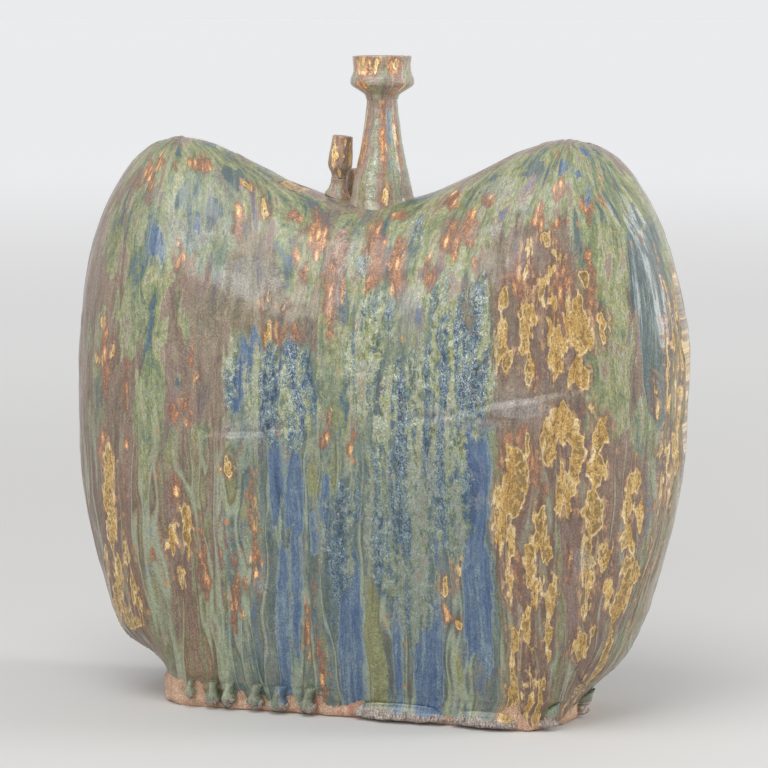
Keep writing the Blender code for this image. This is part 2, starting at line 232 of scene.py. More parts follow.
# Shape of each glaze's patches: how early and how bluntly they widen, and how freely
# their sides and their ends wander
glazeShapes = {
    "teal": (1.0, 0.2, 1.0, 1.0), "moss": (1.0, 0.2, 1.0, 1.0), "olive": (1.2, 0.45, 0.9, 0.9),
    "celadon": (1.2, 0.45, 1.0, 0.9), "slate": (1.0, 0.45, 0.8, 0.8), "rust": (1.2, 0.7, 0.6, 0.35),
    "ochre": (1.1, 0.72, 0.55, 0.3), "cobalt": (1.0, 0.18, 0.45, 1.0), "curd": (1.0, 0.4, 0.8, 0.9),
    "bloom_and_painted_sheen": (1.0, 0.6, 0.3, 0.06), "bare": (1.0, 0.5, 0.3, 0.3), "grit": (1.0, 0.5, 0.3, 0.3)}

# Where each glaze lies: millimetres round the belly from the front's middle, top
# and bottom below the belly line, width, and how far the bottom is to the right
glazeLayout = {
    "celadon": [(-203, -83, -57, 8, 2), (-202, -32, 2, 8), (-197, -13, 14, 8), (-160, -183, -104, 31, 19),
     (-159, -122, -60, 26, 4), (-147, -128, -86, 26), (-146, -47, 10, 16), (-143, 34, 73, 9),
     (-141, -80, 7, 17, 2), (-139, -18, 57, 10), (-138, 49, 102, 9, -2), (-138, 91, 147, 8, -8),
     (-130, 56, 125, 9, -3), (-129, -197, -128, 26, 5), (-99, -195, -134, 27, -3), (-90, 1, 94, 5.1),
     (-90, 25, 205, 6, -6), (-85, 44, 141, 2.5, -8), (-73, 46, 205, 3.8, -4), (-48, -189, -129, 11, 2),
     (-19, -6, 5, 18), (-19, -4, 5, 14), (4, -86, 10, 16, -3), (5, -85, -19, 24), (10, 75, 205, 2.5),
     (26, -183, -121, 11, 17), (45, -87, -40, 13), (55, -106, -54, 27, 8), (56, -122, -27, 16, 8),
     (78, -156, -129, 14, 6), (107, -190, -155, 17, 9), (107, 21, 63, 6, 3), (109, 58, 205, 2.7, -4),
     (133, -208, -157, 24, 14), (168, -212, -137, 17, -2), (200, -242, -181, 83, -42),
     (209, -195, -143, 21, -10), (209, -44, -2, 17, 2), (209, 97, 153, 11, -9), (212, -240, -187, 43, -42),
     (219, 49, 98, 12), (226, -28, 67, 18, 11), (231, -69, -9, 17, 7)],
    "olive": [(246, -200, 100, 12), (262, -150, 150, 10, -6), (228, -130, -40, 7, 6),
     (-188, -242, -196, 121, 80), (-159, -78, -73, 4), (-143, 0, 34, 11), (-140, -120, -62, 5.3, -2),
     (-123, -19, 8, 9), (-123, -18, 9, 10), (-121, 110, 205, 14), (-118, -114, -77, 5.1, 5),
     (-102, -14, 47, 6), (-102, 108, 205, 6), (-100, -20, 7, 8), (-89, -247, -205, 80, -16),
     (-78, 4, 45, 13), (-47, -233, -181, 39, -16), (-27, 73, 90, 5.1), (-23, -50, -18, 8, -3),
     (-20, -166, -104, 7, 7), (-20, 8, 32, 10), (-19, 10, 29, 11, 3), (-12, -181, -160, 10, 4),
     (-5, -14, 53, 11), (-4, -11, 29, 6), (17, -171, -113, 6, 11), (19, 72, 205, 20),
     (26, -152, -118, 9, 6), (46, -151, -118, 16, 5), (76, 120, 205, 13, -4), (83, -138, -114, 13, 3),
     (109, -19, 46, 9), (130, -234, -175, 89, 30), (151, 18, 92, 4, 3), (154, 146, 205, 7, 2),
     (155, 92, 151, 4.6, 3), (181, -188, -144, 14, -5), (187, -178, -86, 15, -11), (193, -118, -42, 11, 8),
     (195, -135, -58, 17), (247, -226, -168, 12, 3)],
    "rust": [(-186, -14, 21, 13), (-181, -85, -29, 13, 2), (-180, -210, -198, 10, 18), (-180, -10, -1, 6),
     (-180, -10, 1, 9), (-175, -186, -177, 11, 3), (-173, -76, -59, 8), (-173, 0, 12, 9),
     (-166, -205, -180, 21, 21), (-160, -67, -23, 6, 2), (-159, -13, 1, 3.8), (-158, -214, -199, 17, 13),
     (-143, 76, 88, 4.1, -2), (-128, -208, -201, 5.5), (-121, -150, -117, 5.2, 2), (-121, -32, -20, 10),
     (-121, 19, 39, 5.1, -3), (-119, 81, 105, 6), (-111, -218, -200, 10, -3), (-111, -42, -15, 6),
     (-109, -73, -58, 5.1), (-104, 46, 109, 5.1, -3), (-102, -224, -197, 12, -4), (-101, 89, 108, 9),
     (-100, -215, -201, 7), (-80, 69, 131, 9, -4), (-78, -189, -142, 8, -2), (-66, 9, 53, 5.1, -3),
     (-64, 52, 106, 6), (-46, -89, -74, 11), (-40, -180, -166, 11), (-40, -178, -165, 10),
     (-38, -156, -132, 6), (-38, -151, -128, 5, 2), (-34, -166, -156, 5.8), (-34, -91, -77, 10),
     (-31, -137, -119, 6, 3), (-30, -139, -116, 6, 2), (-28, -161, -142, 4.8), (-28, -161, -138, 4.8, 3),
     (-28, 91, 147, 5.1, -5), (-26, -181, -168, 8), (-26, 91, 122, 3.8, -4), (-25, -186, -133, 13, 3),
     (-25, -182, -171, 8), (-21, 122, 205, 6), (-14, -19, -6, 9), (-11, -33, -19, 3.8), (-9, -166, -86, 16),
     (-8, -129, -77, 6), (7, -11, -2, 5.1), (8, -18, -4, 6), (15, -177, -107, 18, 10),
     (22, -182, -169, 9, 5), (34, -157, -107, 14, 9), (34, -151, -106, 5, 6), (34, 1, 21, 9),
     (34, 1, 22, 8), (52, -199, -177, 15, 13), (58, -144, -114, 10, 6), (67, -171, -134, 16, 9),
     (72, 101, 120, 11, 3), (78, -4, 22, 8, 3), (78, 3, 38, 6), (79, -178, -143, 15, 9), (82, 23, 51, 6),
     (86, -192, -174, 14, 10), (90, -140, -128, 8, 2), (95, -15, 26, 14, 6), (112, -132, -123, 5.1),
     (112, -131, -119, 6), (117, -24, 12, 16), (122, -144, -110, 13, 2), (125, 51, 95, 11),
     (127, -27, 28, 30), (129, -151, -81, 17), (130, 10, 15, 3.8), (134, -179, -153, 13, 4),
     (135, -72, -52, 10), (136, -166, -158, 8, 2), (139, -221, -213, 9, 4), (141, 19, 35, 2.7),
     (143, 12, 21, 8, 5), (149, -156, -149, 4.6, 2), (151, -199, -179, 15, 3), (151, -168, -159, 11),
     (152, -154, -80, 21), (160, 56, 83, 5.5), (170, -147, -136, 8), (173, 71, 80, 9, 4),
     (174, -144, -90, 11, -3), (175, -186, -168, 13, -4), (177, -181, -164, 5.4, -2),
     (190, -183, -174, 8, -2), (198, -199, -191, 10, -4), (208, -9, 2, 5.1, 2), (214, -199, -187, 14, -7),
     (225, 25, 34, 3, 2), (262, -156, -131, 9, 7)],
    "ochre": [(222, -60, -30, 3), (228, 40, 130, 3, -6), (233, -30, 40, 3, -2), (236, -100, 20, 3.4, 3),
     (240, 70, 150, 3, -8), (243, -150, -20, 3.4, 6), (250, -120, 80, 4), (258, -60, 100, 3.4, -4),
     (264, -150, 40, 4, 4), (248, 90, 170, 3, -6), (-196, 74, 115, 7, -12), (-189, -60, -51, 5.2, 2),
     (-189, 85, 153, 16, -38), (-187, -85, -76, 5.4), (-180, 21, 54, 15, -3), (-179, 41, 82, 15, -6),
     (-179, 77, 121, 14, -7), (-178, -1, 32, 14, -6), (-177, 115, 143, 20), (-174, -74, -62, 4),
     (-165, 72, 91, 7), (-165, 128, 140, 12, -6), (-162, 89, 113, 10), (-159, 104, 123, 11, 5),
     (-126, 52, 78, 9), (-119, 84, 102, 5.1), (-114, 38, 80, 9), (-105, -56, -48, 3.8), (-80, 8, 21, 9),
     (-70, -200, -189, 8, -2), (-60, -187, -165, 5.5), (-56, -114, -98, 3.8), (-53, -90, -74, 8),
     (-42, -105, -97, 3.8), (-31, -223, -207, 13), (20, 36, 45, 3.8), (22, 15, 23, 5.1), (22, 16, 26, 5.1),
     (31, -53, -43, 3.8), (73, 81, 97, 6), (81, 107, 119, 8), (83, 51, 88, 6), (111, -103, -56, 8),
     (112, -120, -103, 10), (112, -118, -105, 6), (112, -100, -85, 9), (114, -6, 67, 13, -4),
     (115, -85, -57, 11), (117, 127, 205, 12), (118, -15, -2, 9), (118, 71, 100, 5.1), (120, 36, 71, 6),
     (120, 111, 132, 9), (122, -16, 38, 22), (122, 20, 34, 6), (122, 22, 37, 6), (126, -84, -75, 6),
     (127, -155, -139, 5.5), (127, -139, -127, 5.3), (127, -113, -85, 11), (128, -107, -72, 9),
     (129, -154, -138, 4.2, 2), (130, 93, 130, 8), (131, -128, -115, 3.9), (131, -110, -90, 8),
     (131, -20, -2, 6), (132, -126, -118, 3.9), (132, -77, -53, 10), (132, 44, 90, 10, -2),
     (132, 121, 205, 9), (136, 75, 103, 7), (137, -119, -109, 5.3), (137, -85, -78, 5.2),
     (138, -130, -110, 8), (140, 24, 65, 10), (141, 74, 93, 4.1), (142, -159, -146, 12),
     (143, 147, 205, 9, 4), (144, -85, -81, 5.2), (144, -30, 3, 9), (144, 40, 69, 8, 2),
     (145, -140, -121, 8, -4), (145, -110, -77, 8), (146, -35, -13, 8), (147, -118, -104, 8, 2),
     (147, -26, -4, 9), (147, 101, 142, 8), (148, 65, 122, 8), (149, -148, -140, 7, -2),
     (150, -101, -57, 14), (153, -145, -137, 7, -2), (154, -4, 37, 9), (155, -46, -13, 19),
     (157, -118, -85, 8), (157, -30, -17, 8), (159, 7, 40, 8), (163, -24, 23, 11), (165, -115, -72, 18),
     (165, -74, -48, 15, 2), (165, -27, -4, 9), (166, -19, 0, 9), (169, -132, -120, 9), (172, -95, -76, 9),
     (173, -43, -34, 6), (173, 111, 143, 16, 5), (174, 37, 94, 10, 2), (174, 84, 108, 6, 3),
     (177, 15, 49, 15, 2), (178, -11, 17, 15), (180, -31, -8, 14), (181, -37, -12, 12), (183, -110, -78, 8),
     (183, 110, 121, 7), (187, 49, 73, 12), (189, 137, 205, 8, 11), (192, 69, 105, 10, 4),
     (202, 19, 44, 10), (204, 42, 65, 12, 5), (206, 2, 24, 14, -4), (207, 78, 118, 18, -9),
     (209, 114, 205, 18, 14), (212, 66, 90, 22, 6), (213, 23, 52, 9, 3), (231, -14, -1, 5),
     (239, 61, 109, 5.4, -4), (244, -87, -73, 7, -4), (244, -22, 2, 8, 3), (248, 7, 70, 7, 14),
     (250, -54, -7, 7, -3), (251, -25, 21, 7, 7), (257, -133, -82, 10, -18), (258, -97, -54, 8, -15)],
    "slate": [(-122, -189, -168, 7, 3), (-119, -47, -41, 6), (-97, -175, -151, 13), (-79, 43, 67, 9),
     (-78, -212, -191, 21, 4), (-61, 106, 154, 5.1), (-53, 52, 139, 13), (-49, 0, 205, 9, -10),
     (-41, 55, 153, 10, -6), (-23, 39, 113, 13, -3), (-2, 42, 205, 6, -5), (3, -53, -37, 9), (7, 4, 51, 19),
     (26, -82, 3, 13, 5), (26, -26, 30, 13, 4), (33, 29, 118, 10), (46, 47, 205, 6, -8),
     (53, -72, -35, 13, 3), (103, 95, 205, 10, -3), (111, -207, -195, 8, 6), (117, -218, -199, 19, 10),
     (165, -168, -136, 6, -2), (213, -163, -94, 20, -4), (227, -184, -156, 23, -4),
     (228, -157, -24, 35, -8), (241, -199, -70, 33, -20)],
    "cobalt": [(-139, -159, -139, 14, 2), (-109, -161, -143, 8), (-76, -55, -22, 13, -4),
     (-70, -76, -50, 13, -4), (-62, -88, -73, 9), (-48, -9, 51, 13), (-47, -17, 55, 11, -3),
     (-47, 63, 205, 10, -6), (-40, -67, -38, 14), (-37, -69, -17, 11), (-36, 55, 143, 8, -4),
     (-35, -4, 54, 14, -4), (-33, -47, -30, 9), (-33, 1, 54, 14), (-21, 43, 75, 6), (-12, 9, 70, 8),
     (-11, 12, 48, 9), (2, 65, 205, 20, -5), (19, -83, -72, 5.1), (36, 63, 205, 8, -6),
     (58, 90, 205, 23, -4), (65, -10, 14, 10), (67, -116, -72, 10, 4), (68, -16, 12, 10),
     (80, -109, -86, 8), (94, -24, 69, 24), (94, -23, 47, 20), (95, 59, 148, 23, -4),
     (153, -212, -199, 17, 3), (171, -204, -196, 11, -2), (178, -193, -183, 8), (195, -230, -211, 17, -21)],
    "curd": [(-81, -70, -21, 11), (-55, -79, 1, 25), (-53, -74, -15, 22, -3), (-32, -74, 4, 22, 4),
     (-30, -71, -10, 29), (-29, -19, -3, 13), (-3, 17, 102, 22, -4), (-2, 36, 67, 9), (4, 15, 50, 23),
     (8, -148, -122, 9, 4), (15, -107, -25, 24), (20, -113, -84, 15, 3), (29, -26, 101, 28, -6),
     (32, -115, -83, 14, 3), (38, -176, -151, 10, 11), (40, -72, -16, 23), (46, -53, -21, 14),
     (46, 13, 67, 14), (50, -27, 47, 33), (51, -13, 129, 35, -3), (52, -35, -7, 28, 3), (54, 68, 104, 16),
     (61, -123, -105, 15, 3), (63, 16, 53, 22), (65, -22, 48, 19), (67, -116, -68, 14, 3),
     (69, -108, 13, 28), (75, -8, 48, 13), (80, -112, -82, 13), (80, -22, 68, 32), (86, -91, -41, 30),
     (86, -45, -23, 33), (91, -69, -25, 29), (95, -126, -85, 16, 3), (97, -110, -42, 19)],
    # milky glaze patches, partly a painted sheen: pale patches laid along the lapped ledges and on bumps
    # where highlights fall
    "bloom_and_painted_sheen": [(-113, -163, -137, 36, 2), (-69, -21, -6, 37), (-68, -135, -105, 43, 3), (-60, 89, 102, 11),
     (-7, -176, -86, 9, 9), (-1, -163, -129, 5, -6), (64, -13, 28, 10), (70, -36, -24, 46),
     (92, -203, -181, 37, 11), (94, -32, -19, 30), (97, 21, 33, 14), (98, -162, -154, 22, 2),
     (116, -178, -171, 8, 2), (124, -45, -31, 44), (170, 56, 75, 13)],
    "teal": [(-138, -172, -130, 36, 5), (-104, -192, -127, 51), (-93, -208, -177, 40, 3),
     (-63, -81, -1, 44, -5), (-52, -16, 225, 77, -10), (-23, -75, 4, 41), (0, -17, 225, 58, -5),
     (12, 16, 225, 43, -9), (34, -117, 2, 56, 4), (56, -109, 225, 85, -2), (97, -29, 225, 30, -3)],
    "moss": [(-188, -171, -114, 28, 18), (-188, -84, 87, 15, 8), (-144, -161, -102, 40, 7),
     (-140, -88, 225, 26), (-126, -221, -186, 173, 3), (-104, -13, 225, 20), (-96, -185, -130, 32),
     (-86, 64, 225, 25, -5), (-67, -211, -159, 49, -9), (-33, 75, 225, 29, -4), (-30, -206, -105, 26, -3),
     (-4, -113, 31, 33), (11, -177, -100, 52, 16), (29, -211, -151, 44, 25), (62, -163, -108, 37, 12),
     (78, -202, -137, 36, 18), (78, 97, 225, 14, -3), (110, 96, 225, 15), (147, -224, -168, 171, 12),
     (156, 94, 225, 18, 3), (186, -187, -11, 40, -5), (233, -222, -154, 57, -9), (246, -183, 225, 61, -11),
     (256, -142, 120, 31, -20)]}


def scatter(seed):  # glazes on the back, laid at random in the front's proportions
    rng = np.random.default_rng(seed)
    start, end = rightGirth * 1000 + 30, wholeGirth * 1000 - leftGirth * 1000 - 6
    habits = {"teal": (9, 50, 110, 190, 40), "moss": (13, 30, 60, 240, 60), "celadon": (26, 8, 24, 80, 0),
              "olive": (24, 8, 22, 90, 0), "rust": (34, 4, 12, 24, -30), "ochre": (60, 3, 8, 30, 10),
              "slate": (12, 10, 24, 90, 20), "cobalt": (9, 10, 26, 110, 60), "curd": (9, 20, 40, 60, -30),
              # milky patches on the back, partly a painted sheen like those on the front
              "bloom_and_painted_sheen": (6, 20, 50, 16, 0)}
    for key, (count, narrow, wide, tall, low) in habits.items():
        for _ in range(count):
            height = tall * rng.uniform(0.5, 1.5)
            middle = rng.uniform(-170, 160 - height / 2) * 0.8 + low * 0.5
            glazeLayout[key].append((rng.uniform(start, end), middle - height / 2, middle + height / 2,
                                     rng.uniform(narrow, wide)))


scatter(5)


def paintGlazes(s, t, around, layout, wander=1.0):
    # distance inside each glaze's edge, in millimetres
    places = wrapped(s, t, around)
    sway = (noiseA(places, 0.013, 2.6) - 0.5) * 5.0 + (noiseB(places, 0.0055, 2.0) - 0.5) * 3.6
    lift = ((noiseC(places, 0.005, 12) - 0.5) * 26 + (noiseA(places, 0.0026, 12) - 0.5) * 12
            + (noiseB(places, 0.012) - 0.5) * 6)
    fine = (noiseC(places, 0.0048, 1.4) - 0.5) * 1.8
    girthLength = around * 1000
    fields = {}
    for name, (early, full, side, end) in glazeShapes.items():
        field = np.full(s.shape, -fieldReach)
        across = s * 1000 + (sway * side + fine * (1.2 - side)) * wander
        down = t * 1000 + lift * end * wander
        for centre, top, bottom, width, *lean in layout.get(name, ()):
            near = (down > top - fieldReach) & (down < bottom + fieldReach)
            share = (down[near] - top) / (bottom - top)
            inner = np.clip(share, 0, 1)
            half = width / 2 * np.sin(math.pi * inner ** early) ** full
            half -= np.abs(share - inner) * (bottom - top)
            middle = centre + (lean[0] if lean else 0) * (inner - 0.5)
            off = (across[near] - middle + girthLength / 2) % girthLength - girthLength / 2
            field[near] = np.maximum(field[near], half - np.abs(off))
        fields[name] = field
    return fields


def numbered(shape, start=0):  # the numbers of a grid's points
    return start + np.arange(shape[0] * shape[1]).reshape(shape[:2])


def gridFaces(index, around=False, across=False):
    i = np.arange(index.shape[0] - (0 if around else 1))
    j = np.arange(index.shape[1] - (0 if across else 1))
    i, j = np.meshgrid(i, j, indexing="ij")
    ni, nj = (i + 1) % index.shape[0], (j + 1) % index.shape[1]
    quads = np.stack([index[i, j], index[ni, j], index[ni, nj], index[i, nj]], axis=-1)
    return quads.reshape(-1, 4).tolist()


def tidyFaces(faces):  # drops repeated corners and faces that have vanished
    kept = []
    for face in faces:
        corners = [v for k, v in enumerate(face) if v != face[k - 1]]
        if len(set(corners)) > 2:
            kept.append(corners)
    return kept


def gridNormals(points, around=False, across=False):
    def slope(axis, closed):
        if closed:
            return np.roll(points, -1, axis) - np.roll(points, 1, axis)
        return np.gradient(points, axis=axis)
    normals = np.cross(slope(0, around), slope(1, across))
    return normals / np.maximum(np.linalg.norm(normals, axis=-1, keepdims=True), 1e-12)


def makePiece(name, points, faces, fields, nodes, normals=None):
    points = points.reshape(-1, 3)
    mesh = bpy.data.meshes.new(name)
    mesh.from_pydata(points.tolist(), [], faces)
    mesh.shade_smooth()
    for key, values in fields.items():
        kind, entry = ("FLOAT", "value") if values.size == len(points) else ("FLOAT_VECTOR", "vector")
        attribute = mesh.attributes.new(key, kind, "POINT")
        attribute.data.foreach_set(entry, values.astype(np.float32).ravel())
    mesh.validate()
    if normals is not None:
        mesh.normals_split_custom_set_from_vertices(normals.tolist())
    mesh.materials.append(glaze)
    piece = bpy.data.objects.new(name, mesh)
    bpy.context.scene.collection.objects.link(piece)
    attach(piece, "root")
    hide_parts(*nodes)
    print(name, len(points), "points")
    return piece


class Wire:  # a node's output that can be used in sums
    def __init__(self, socket):
        self.socket = socket

    def output(self, key):  # another output of the same node
        return Wire(self.socket.node.outputs[key])

    def math(self, operation, *values):
        return addNode(self.socket.id_data, "ShaderNodeMath", {"operation": operation},
                       dict(enumerate(values)))

    def __add__(self, other):
        return self.math("ADD", self, other)

    def __sub__(self, other):
        return self.math("SUBTRACT", self, other)

    def __rsub__(self, other):
        return self.math("SUBTRACT", other, self)

    def __mul__(self, other):
        return self.math("MULTIPLY", self, other)

    def __abs__(self):
        return self.math("ABSOLUTE", self)

    __radd__, __rmul__ = __add__, __mul__

    def step(self, low, high):  # eases from 0 to 1 between two values
        return addNode(self.socket.id_data, "ShaderNodeMapRange", {"interpolation_type": "SMOOTHSTEP"},
                       {0: self, 1: low, 2: high, 3: 0.0, 4: 1.0})


def fill(node, values):  # sets or links a node's sockets
    for key, value in values.items():
        socket = node.inputs[key]
        if isinstance(value, Wire):
            node.id_data.links.new(value.socket, socket)
        else:
            socket.default_value = value


def addNode(tree, kind, settings=None, values=None, output=0):
    node = tree.nodes.new(kind)
    for key, value in (settings or {}).items():
        setattr(node, key, value)
    fill(node, values or {})
    return Wire(node.outputs[output])


# How the streaks sway to the sides: how wide and how far, in millimetres
drift = {"size": 24, "reach": 15.0, "stretch": 0.35}


class Painter:
    def __init__(self, name):
        self.material = bpy.data.materials.new(name)
        self.material.use_nodes = True
        self.tree = self.material.node_tree
        self.shader = self.tree.nodes["Principled BSDF"]
        place = self.vectors("SCALE", {0: self.attribute("flow", 1), 3: 1000.0})
        sway = self.vectors("MULTIPLY", {0: place, 1: (1.0, 1.0, drift["stretch"])})
        sway = addNode(self.tree, "ShaderNodeTexNoise", {},
                       {"Vector": sway, "Scale": 1 / drift["size"], "Detail": 1.0}, 1)
        sway = self.vectors("MULTIPLY", {0: sway, 1: (drift["reach"], drift["reach"], 0.0)})
        self.place = self.vectors("ADD", {0: place, 1: sway})

    def attribute(self, name, output=2):
        return addNode(self.tree, "ShaderNodeAttribute", {"attribute_name": name}, output=output)

    def vectors(self, operation, values):
        return addNode(self.tree, "ShaderNodeVectorMath", {"operation": operation}, values)

    def stretched(self, share):
        return self.vectors("MULTIPLY", {0: self.place, 1: (1.0, 1.0, share)})

    def noise(self, size, share, detail, rough, warp):
        return addNode(self.tree, "ShaderNodeTexNoise", {},
                       {"Vector": self.stretched(share), "Scale": 1 / size, "Detail": detail,
                        "Roughness": rough, "Distortion": warp})

    def cells(self, size, share=1.0):
        return addNode(self.tree, "ShaderNodeTexVoronoi", {"feature": "F1"},
                       {"Vector": self.stretched(share), "Scale": 1 / size})

    def mix(self, low, high, share):
        low, high = ((*c, 1.0) if isinstance(c, tuple) else c for c in (low, high))
        return addNode(self.tree, "ShaderNodeMix", {"data_type": "RGBA"}, {0: share, 6: low, 7: high}, 2)

    def ramp(self, share, stops):
        wire = addNode(self.tree, "ShaderNodeValToRGB", {}, {0: share})
        elements = wire.socket.node.color_ramp.elements
        for place, *_ in stops[2:]:
            elements.new(place)
        for element, (place, *colour) in zip(elements, stops):
            element.position = place
            element.color = (*colour, 1.0)
        return wire

    def blend(self, low, high, share):
        return addNode(self.tree, "ShaderNodeMix", {"data_type": "FLOAT"}, {0: share, 2: low, 3: high})


# Each glaze: colours along its streaks, roughness, how soft its edge is in millimetres,
# how far broad, fine and hair streaks, grain and lumps fray that edge, how much they
# move its colour, how well it covers, and its pale rim
glazes = {
    "moss": {
        "stops": [(0.08, 0.15, 0.09, 0.06), (0.26, 0.185, 0.15, 0.075), (0.44, 0.215, 0.205, 0.105),
                  (0.6, 0.26, 0.275, 0.155), (0.76, 0.33, 0.36, 0.25), (0.92, 0.4, 0.29, 0.17)],
        "rough": 0.34, "soft": 1.6, "fray": (8.0, 6.0, 2.0, 0.8, 1.5),
        "tone": (0.22, 0.24, 0.15, 0.08, 0.06), "cover": 0.88, "rim": 0.4},
    "teal": {
        "stops": [(0.05, 0.07, 0.09, 0.08), (0.2, 0.065, 0.105, 0.11), (0.38, 0.095, 0.16, 0.19),
                  (0.54, 0.15, 0.215, 0.245), (0.66, 0.215, 0.245, 0.14), (0.8, 0.3, 0.37, 0.3),
                  (0.94, 0.23, 0.205, 0.115)],
        "rough": 0.28, "soft": 1.2, "fray": (7.0, 5.0, 2.0, 0.8, 1.5),
        "tone": (0.22, 0.24, 0.15, 0.08, 0.08), "cover": 0.95, "rim": 0.5},
    "olive": {
        "stops": [(0.1, 0.145, 0.135, 0.05), (0.45, 0.25, 0.25, 0.1), (0.8, 0.35, 0.365, 0.19)],
        "rough": 0.32, "soft": 1.3, "fray": (3.2, 3.4, 1.4, 0.6, 0.8),
        "tone": (0.12, 0.18, 0.12, 0.08, 0.02), "cover": 0.85, "rim": 0.4},
    "celadon": {
        "stops": [(0.1, 0.17, 0.19, 0.13), (0.45, 0.25, 0.29, 0.215), (0.85, 0.39, 0.42, 0.335)],
        "rough": 0.32, "soft": 1.2, "fray": (3.0, 3.4, 1.4, 0.6, 1.4), "tone": (0.1, 0.18, 0.14, 0.1, 0.06),
        "cover": 0.85, "rim": 0},
    "slate": {
        "stops": [(0.1, 0.05, 0.08, 0.085), (0.5, 0.09, 0.135, 0.15), (0.9, 0.16, 0.215, 0.225)],
        "rough": 0.24, "soft": 1.0, "fray": (2.6, 2.2, 1.0, 0.4, 0.5),
        "tone": (0.12, 0.18, 0.12, 0.08, 0.02), "cover": 0.95, "rim": 0.45},
    "rust": {
        "stops": [(0.12, 0.19, 0.125, 0.085), (0.34, 0.27, 0.145, 0.095), (0.52, 0.43, 0.21, 0.105),
                  (0.68, 0.7, 0.37, 0.15), (0.88, 0.9, 0.64, 0.33)],
        "rough": 0.34, "soft": 2.4, "fray": (0.5, 1.6, 0.8, 0.8, 2.2), "tone": (0, 0.1, 0.06, 0.12, 0.16),
        "cover": 0.95, "rim": 0},
    "ochre": {
        "stops": [(0.1, 0.25, 0.13, 0.035), (0.34, 0.5, 0.3, 0.085), (0.56, 0.74, 0.52, 0.21),
                  (0.85, 0.85, 0.7, 0.44)],
        "rough": 0.24, "soft": 0.9, "fray": (0.5, 1.3, 0.5, 0.4, 0.7),
        "tone": (0.14, 0.16, 0.04, 0.08, 0.24), "cover": 1.0, "rim": 0},
    "cobalt": {
        "stops": [(0.08, 0.03, 0.065, 0.13), (0.35, 0.075, 0.14, 0.265), (0.6, 0.135, 0.2, 0.29),
                  (0.9, 0.26, 0.35, 0.38)],
        "rough": 0.26, "soft": 1.3, "fray": (2.4, 1.6, 0.5, 0.3, 0.8), "tone": (0.26, 0.3, 0.1, 0.1, 0.14),
        "cover": 0.95, "rim": 0.6},
    "curd": {
        "stops": [(0.08, 0.02, 0.04, 0.05), (0.24, 0.04, 0.105, 0.22), (0.38, 0.13, 0.215, 0.27),
                  (0.5, 0.22, 0.27, 0.15), (0.6, 0.44, 0.43, 0.13), (0.72, 0.44, 0.5, 0.35),
                  (0.9, 0.52, 0.35, 0.17)],
        "rough": 0.24, "soft": 3.0, "fray": (4.0, 4.0, 1.0, 1.4, 4.0),
        "tone": (0.34, 0.3, 0.06, 0.06, 0.24), "cover": 0.95, "rim": 0},
    # pale grey-white milky glaze that is partly a painted sheen and highlight
    "bloom_and_painted_sheen": {
        "stops": [(0.2, 0.34, 0.345, 0.335), (0.8, 0.52, 0.53, 0.52)],
        "rough": 0.34, "soft": 6.0, "fray": (2.5, 1.5, 0.6, 1.6, 3.0), "tone": (0, 0.1, 0.1, 0.2, 0.1),
        "cover": 0.42, "rim": 0},
    "grit": {
        "stops": [(0.25, 0.17, 0.15, 0.13), (0.45, 0.42, 0.36, 0.32), (0.75, 0.64, 0.56, 0.5)],
        "rough": 0.62, "soft": 0.6, "fray": (0.0, 0.4, 0.4, 0.8, 0.8), "tone": (0, 0, 0.1, 0.3, 0.2),
        "cover": 1.0, "rim": 0},
    "bare": {
        "stops": [(0.2, 0.46, 0.29, 0.2), (0.5, 0.65, 0.445, 0.32), (0.8, 0.76, 0.585, 0.45)],
        "rough": 0.86, "soft": 0.25, "fray": (0.0, 0.5, 0.3, 0.4, 0.5), "tone": (0, 0.05, 0.05, 0.14, 0.1),
        "cover": 1.0, "rim": 0}}
plumStops = [(0.05, 0.11, 0.066, 0.05), (0.35, 0.205, 0.132, 0.108), (0.62, 0.31, 0.216, 0.182),
             (0.9, 0.46, 0.355, 0.31)]
mottleStops = [(0.1, 0.05, 0.11, 0.19), (0.26, 0.1, 0.165, 0.165), (0.38, 0.26, 0.275, 0.08),
               (0.48, 0.25, 0.31, 0.23), (0.57, 0.4, 0.37, 0.12), (0.66, 0.44, 0.48, 0.37),
               (0.76, 0.3, 0.2, 0.15), (0.9, 0.48, 0.3, 0.17)]
brownStops = [(0.18, 0.11, 0.06, 0.042), (0.5, 0.225, 0.14, 0.098), (0.82, 0.33, 0.225, 0.15)]

# Colours that are laid over a glaze or over what lies below it
tints = {
    "plumCloud": (0.215, 0.135, 0.145), "turnedClay": (0.4, 0.31, 0.26), "mottleBlue": (0.075, 0.17, 0.33),
    "edgeBrown": (0.155, 0.098, 0.066), "ironVein": (0.19, 0.115, 0.08), "paleVein": (0.38, 0.4, 0.3),
    "runLine": (0.39, 0.44, 0.32), "runShade": (0.13, 0.105, 0.06), "warmSpot": (0.62, 0.31, 0.13),
    "greenSpot": (0.43, 0.45, 0.23), "ochreHalo": (0.215, 0.13, 0.098), "ochreGlow": (0.64, 0.4, 0.21),
    "ochreLine": (0.19, 0.11, 0.075), "ochreRim": (0.8, 0.64, 0.38), "ochrePit": (0.19, 0.105, 0.02),
    "curdLace": (0.74, 0.82, 0.78), "curdBlue": (0.07, 0.145, 0.2), "celadonLine": (0.38, 0.43, 0.33),
    "flush": (0.52, 0.19, 0.15), "speck": (0.075, 0.06, 0.045)}
finish = {"gamma": 1.12, "bright": 1.13, "bump": 0.8, "bumpDepth": 0.001, "ior": 1.5, "coat": 0.5,
          "coatRough": 0.14}


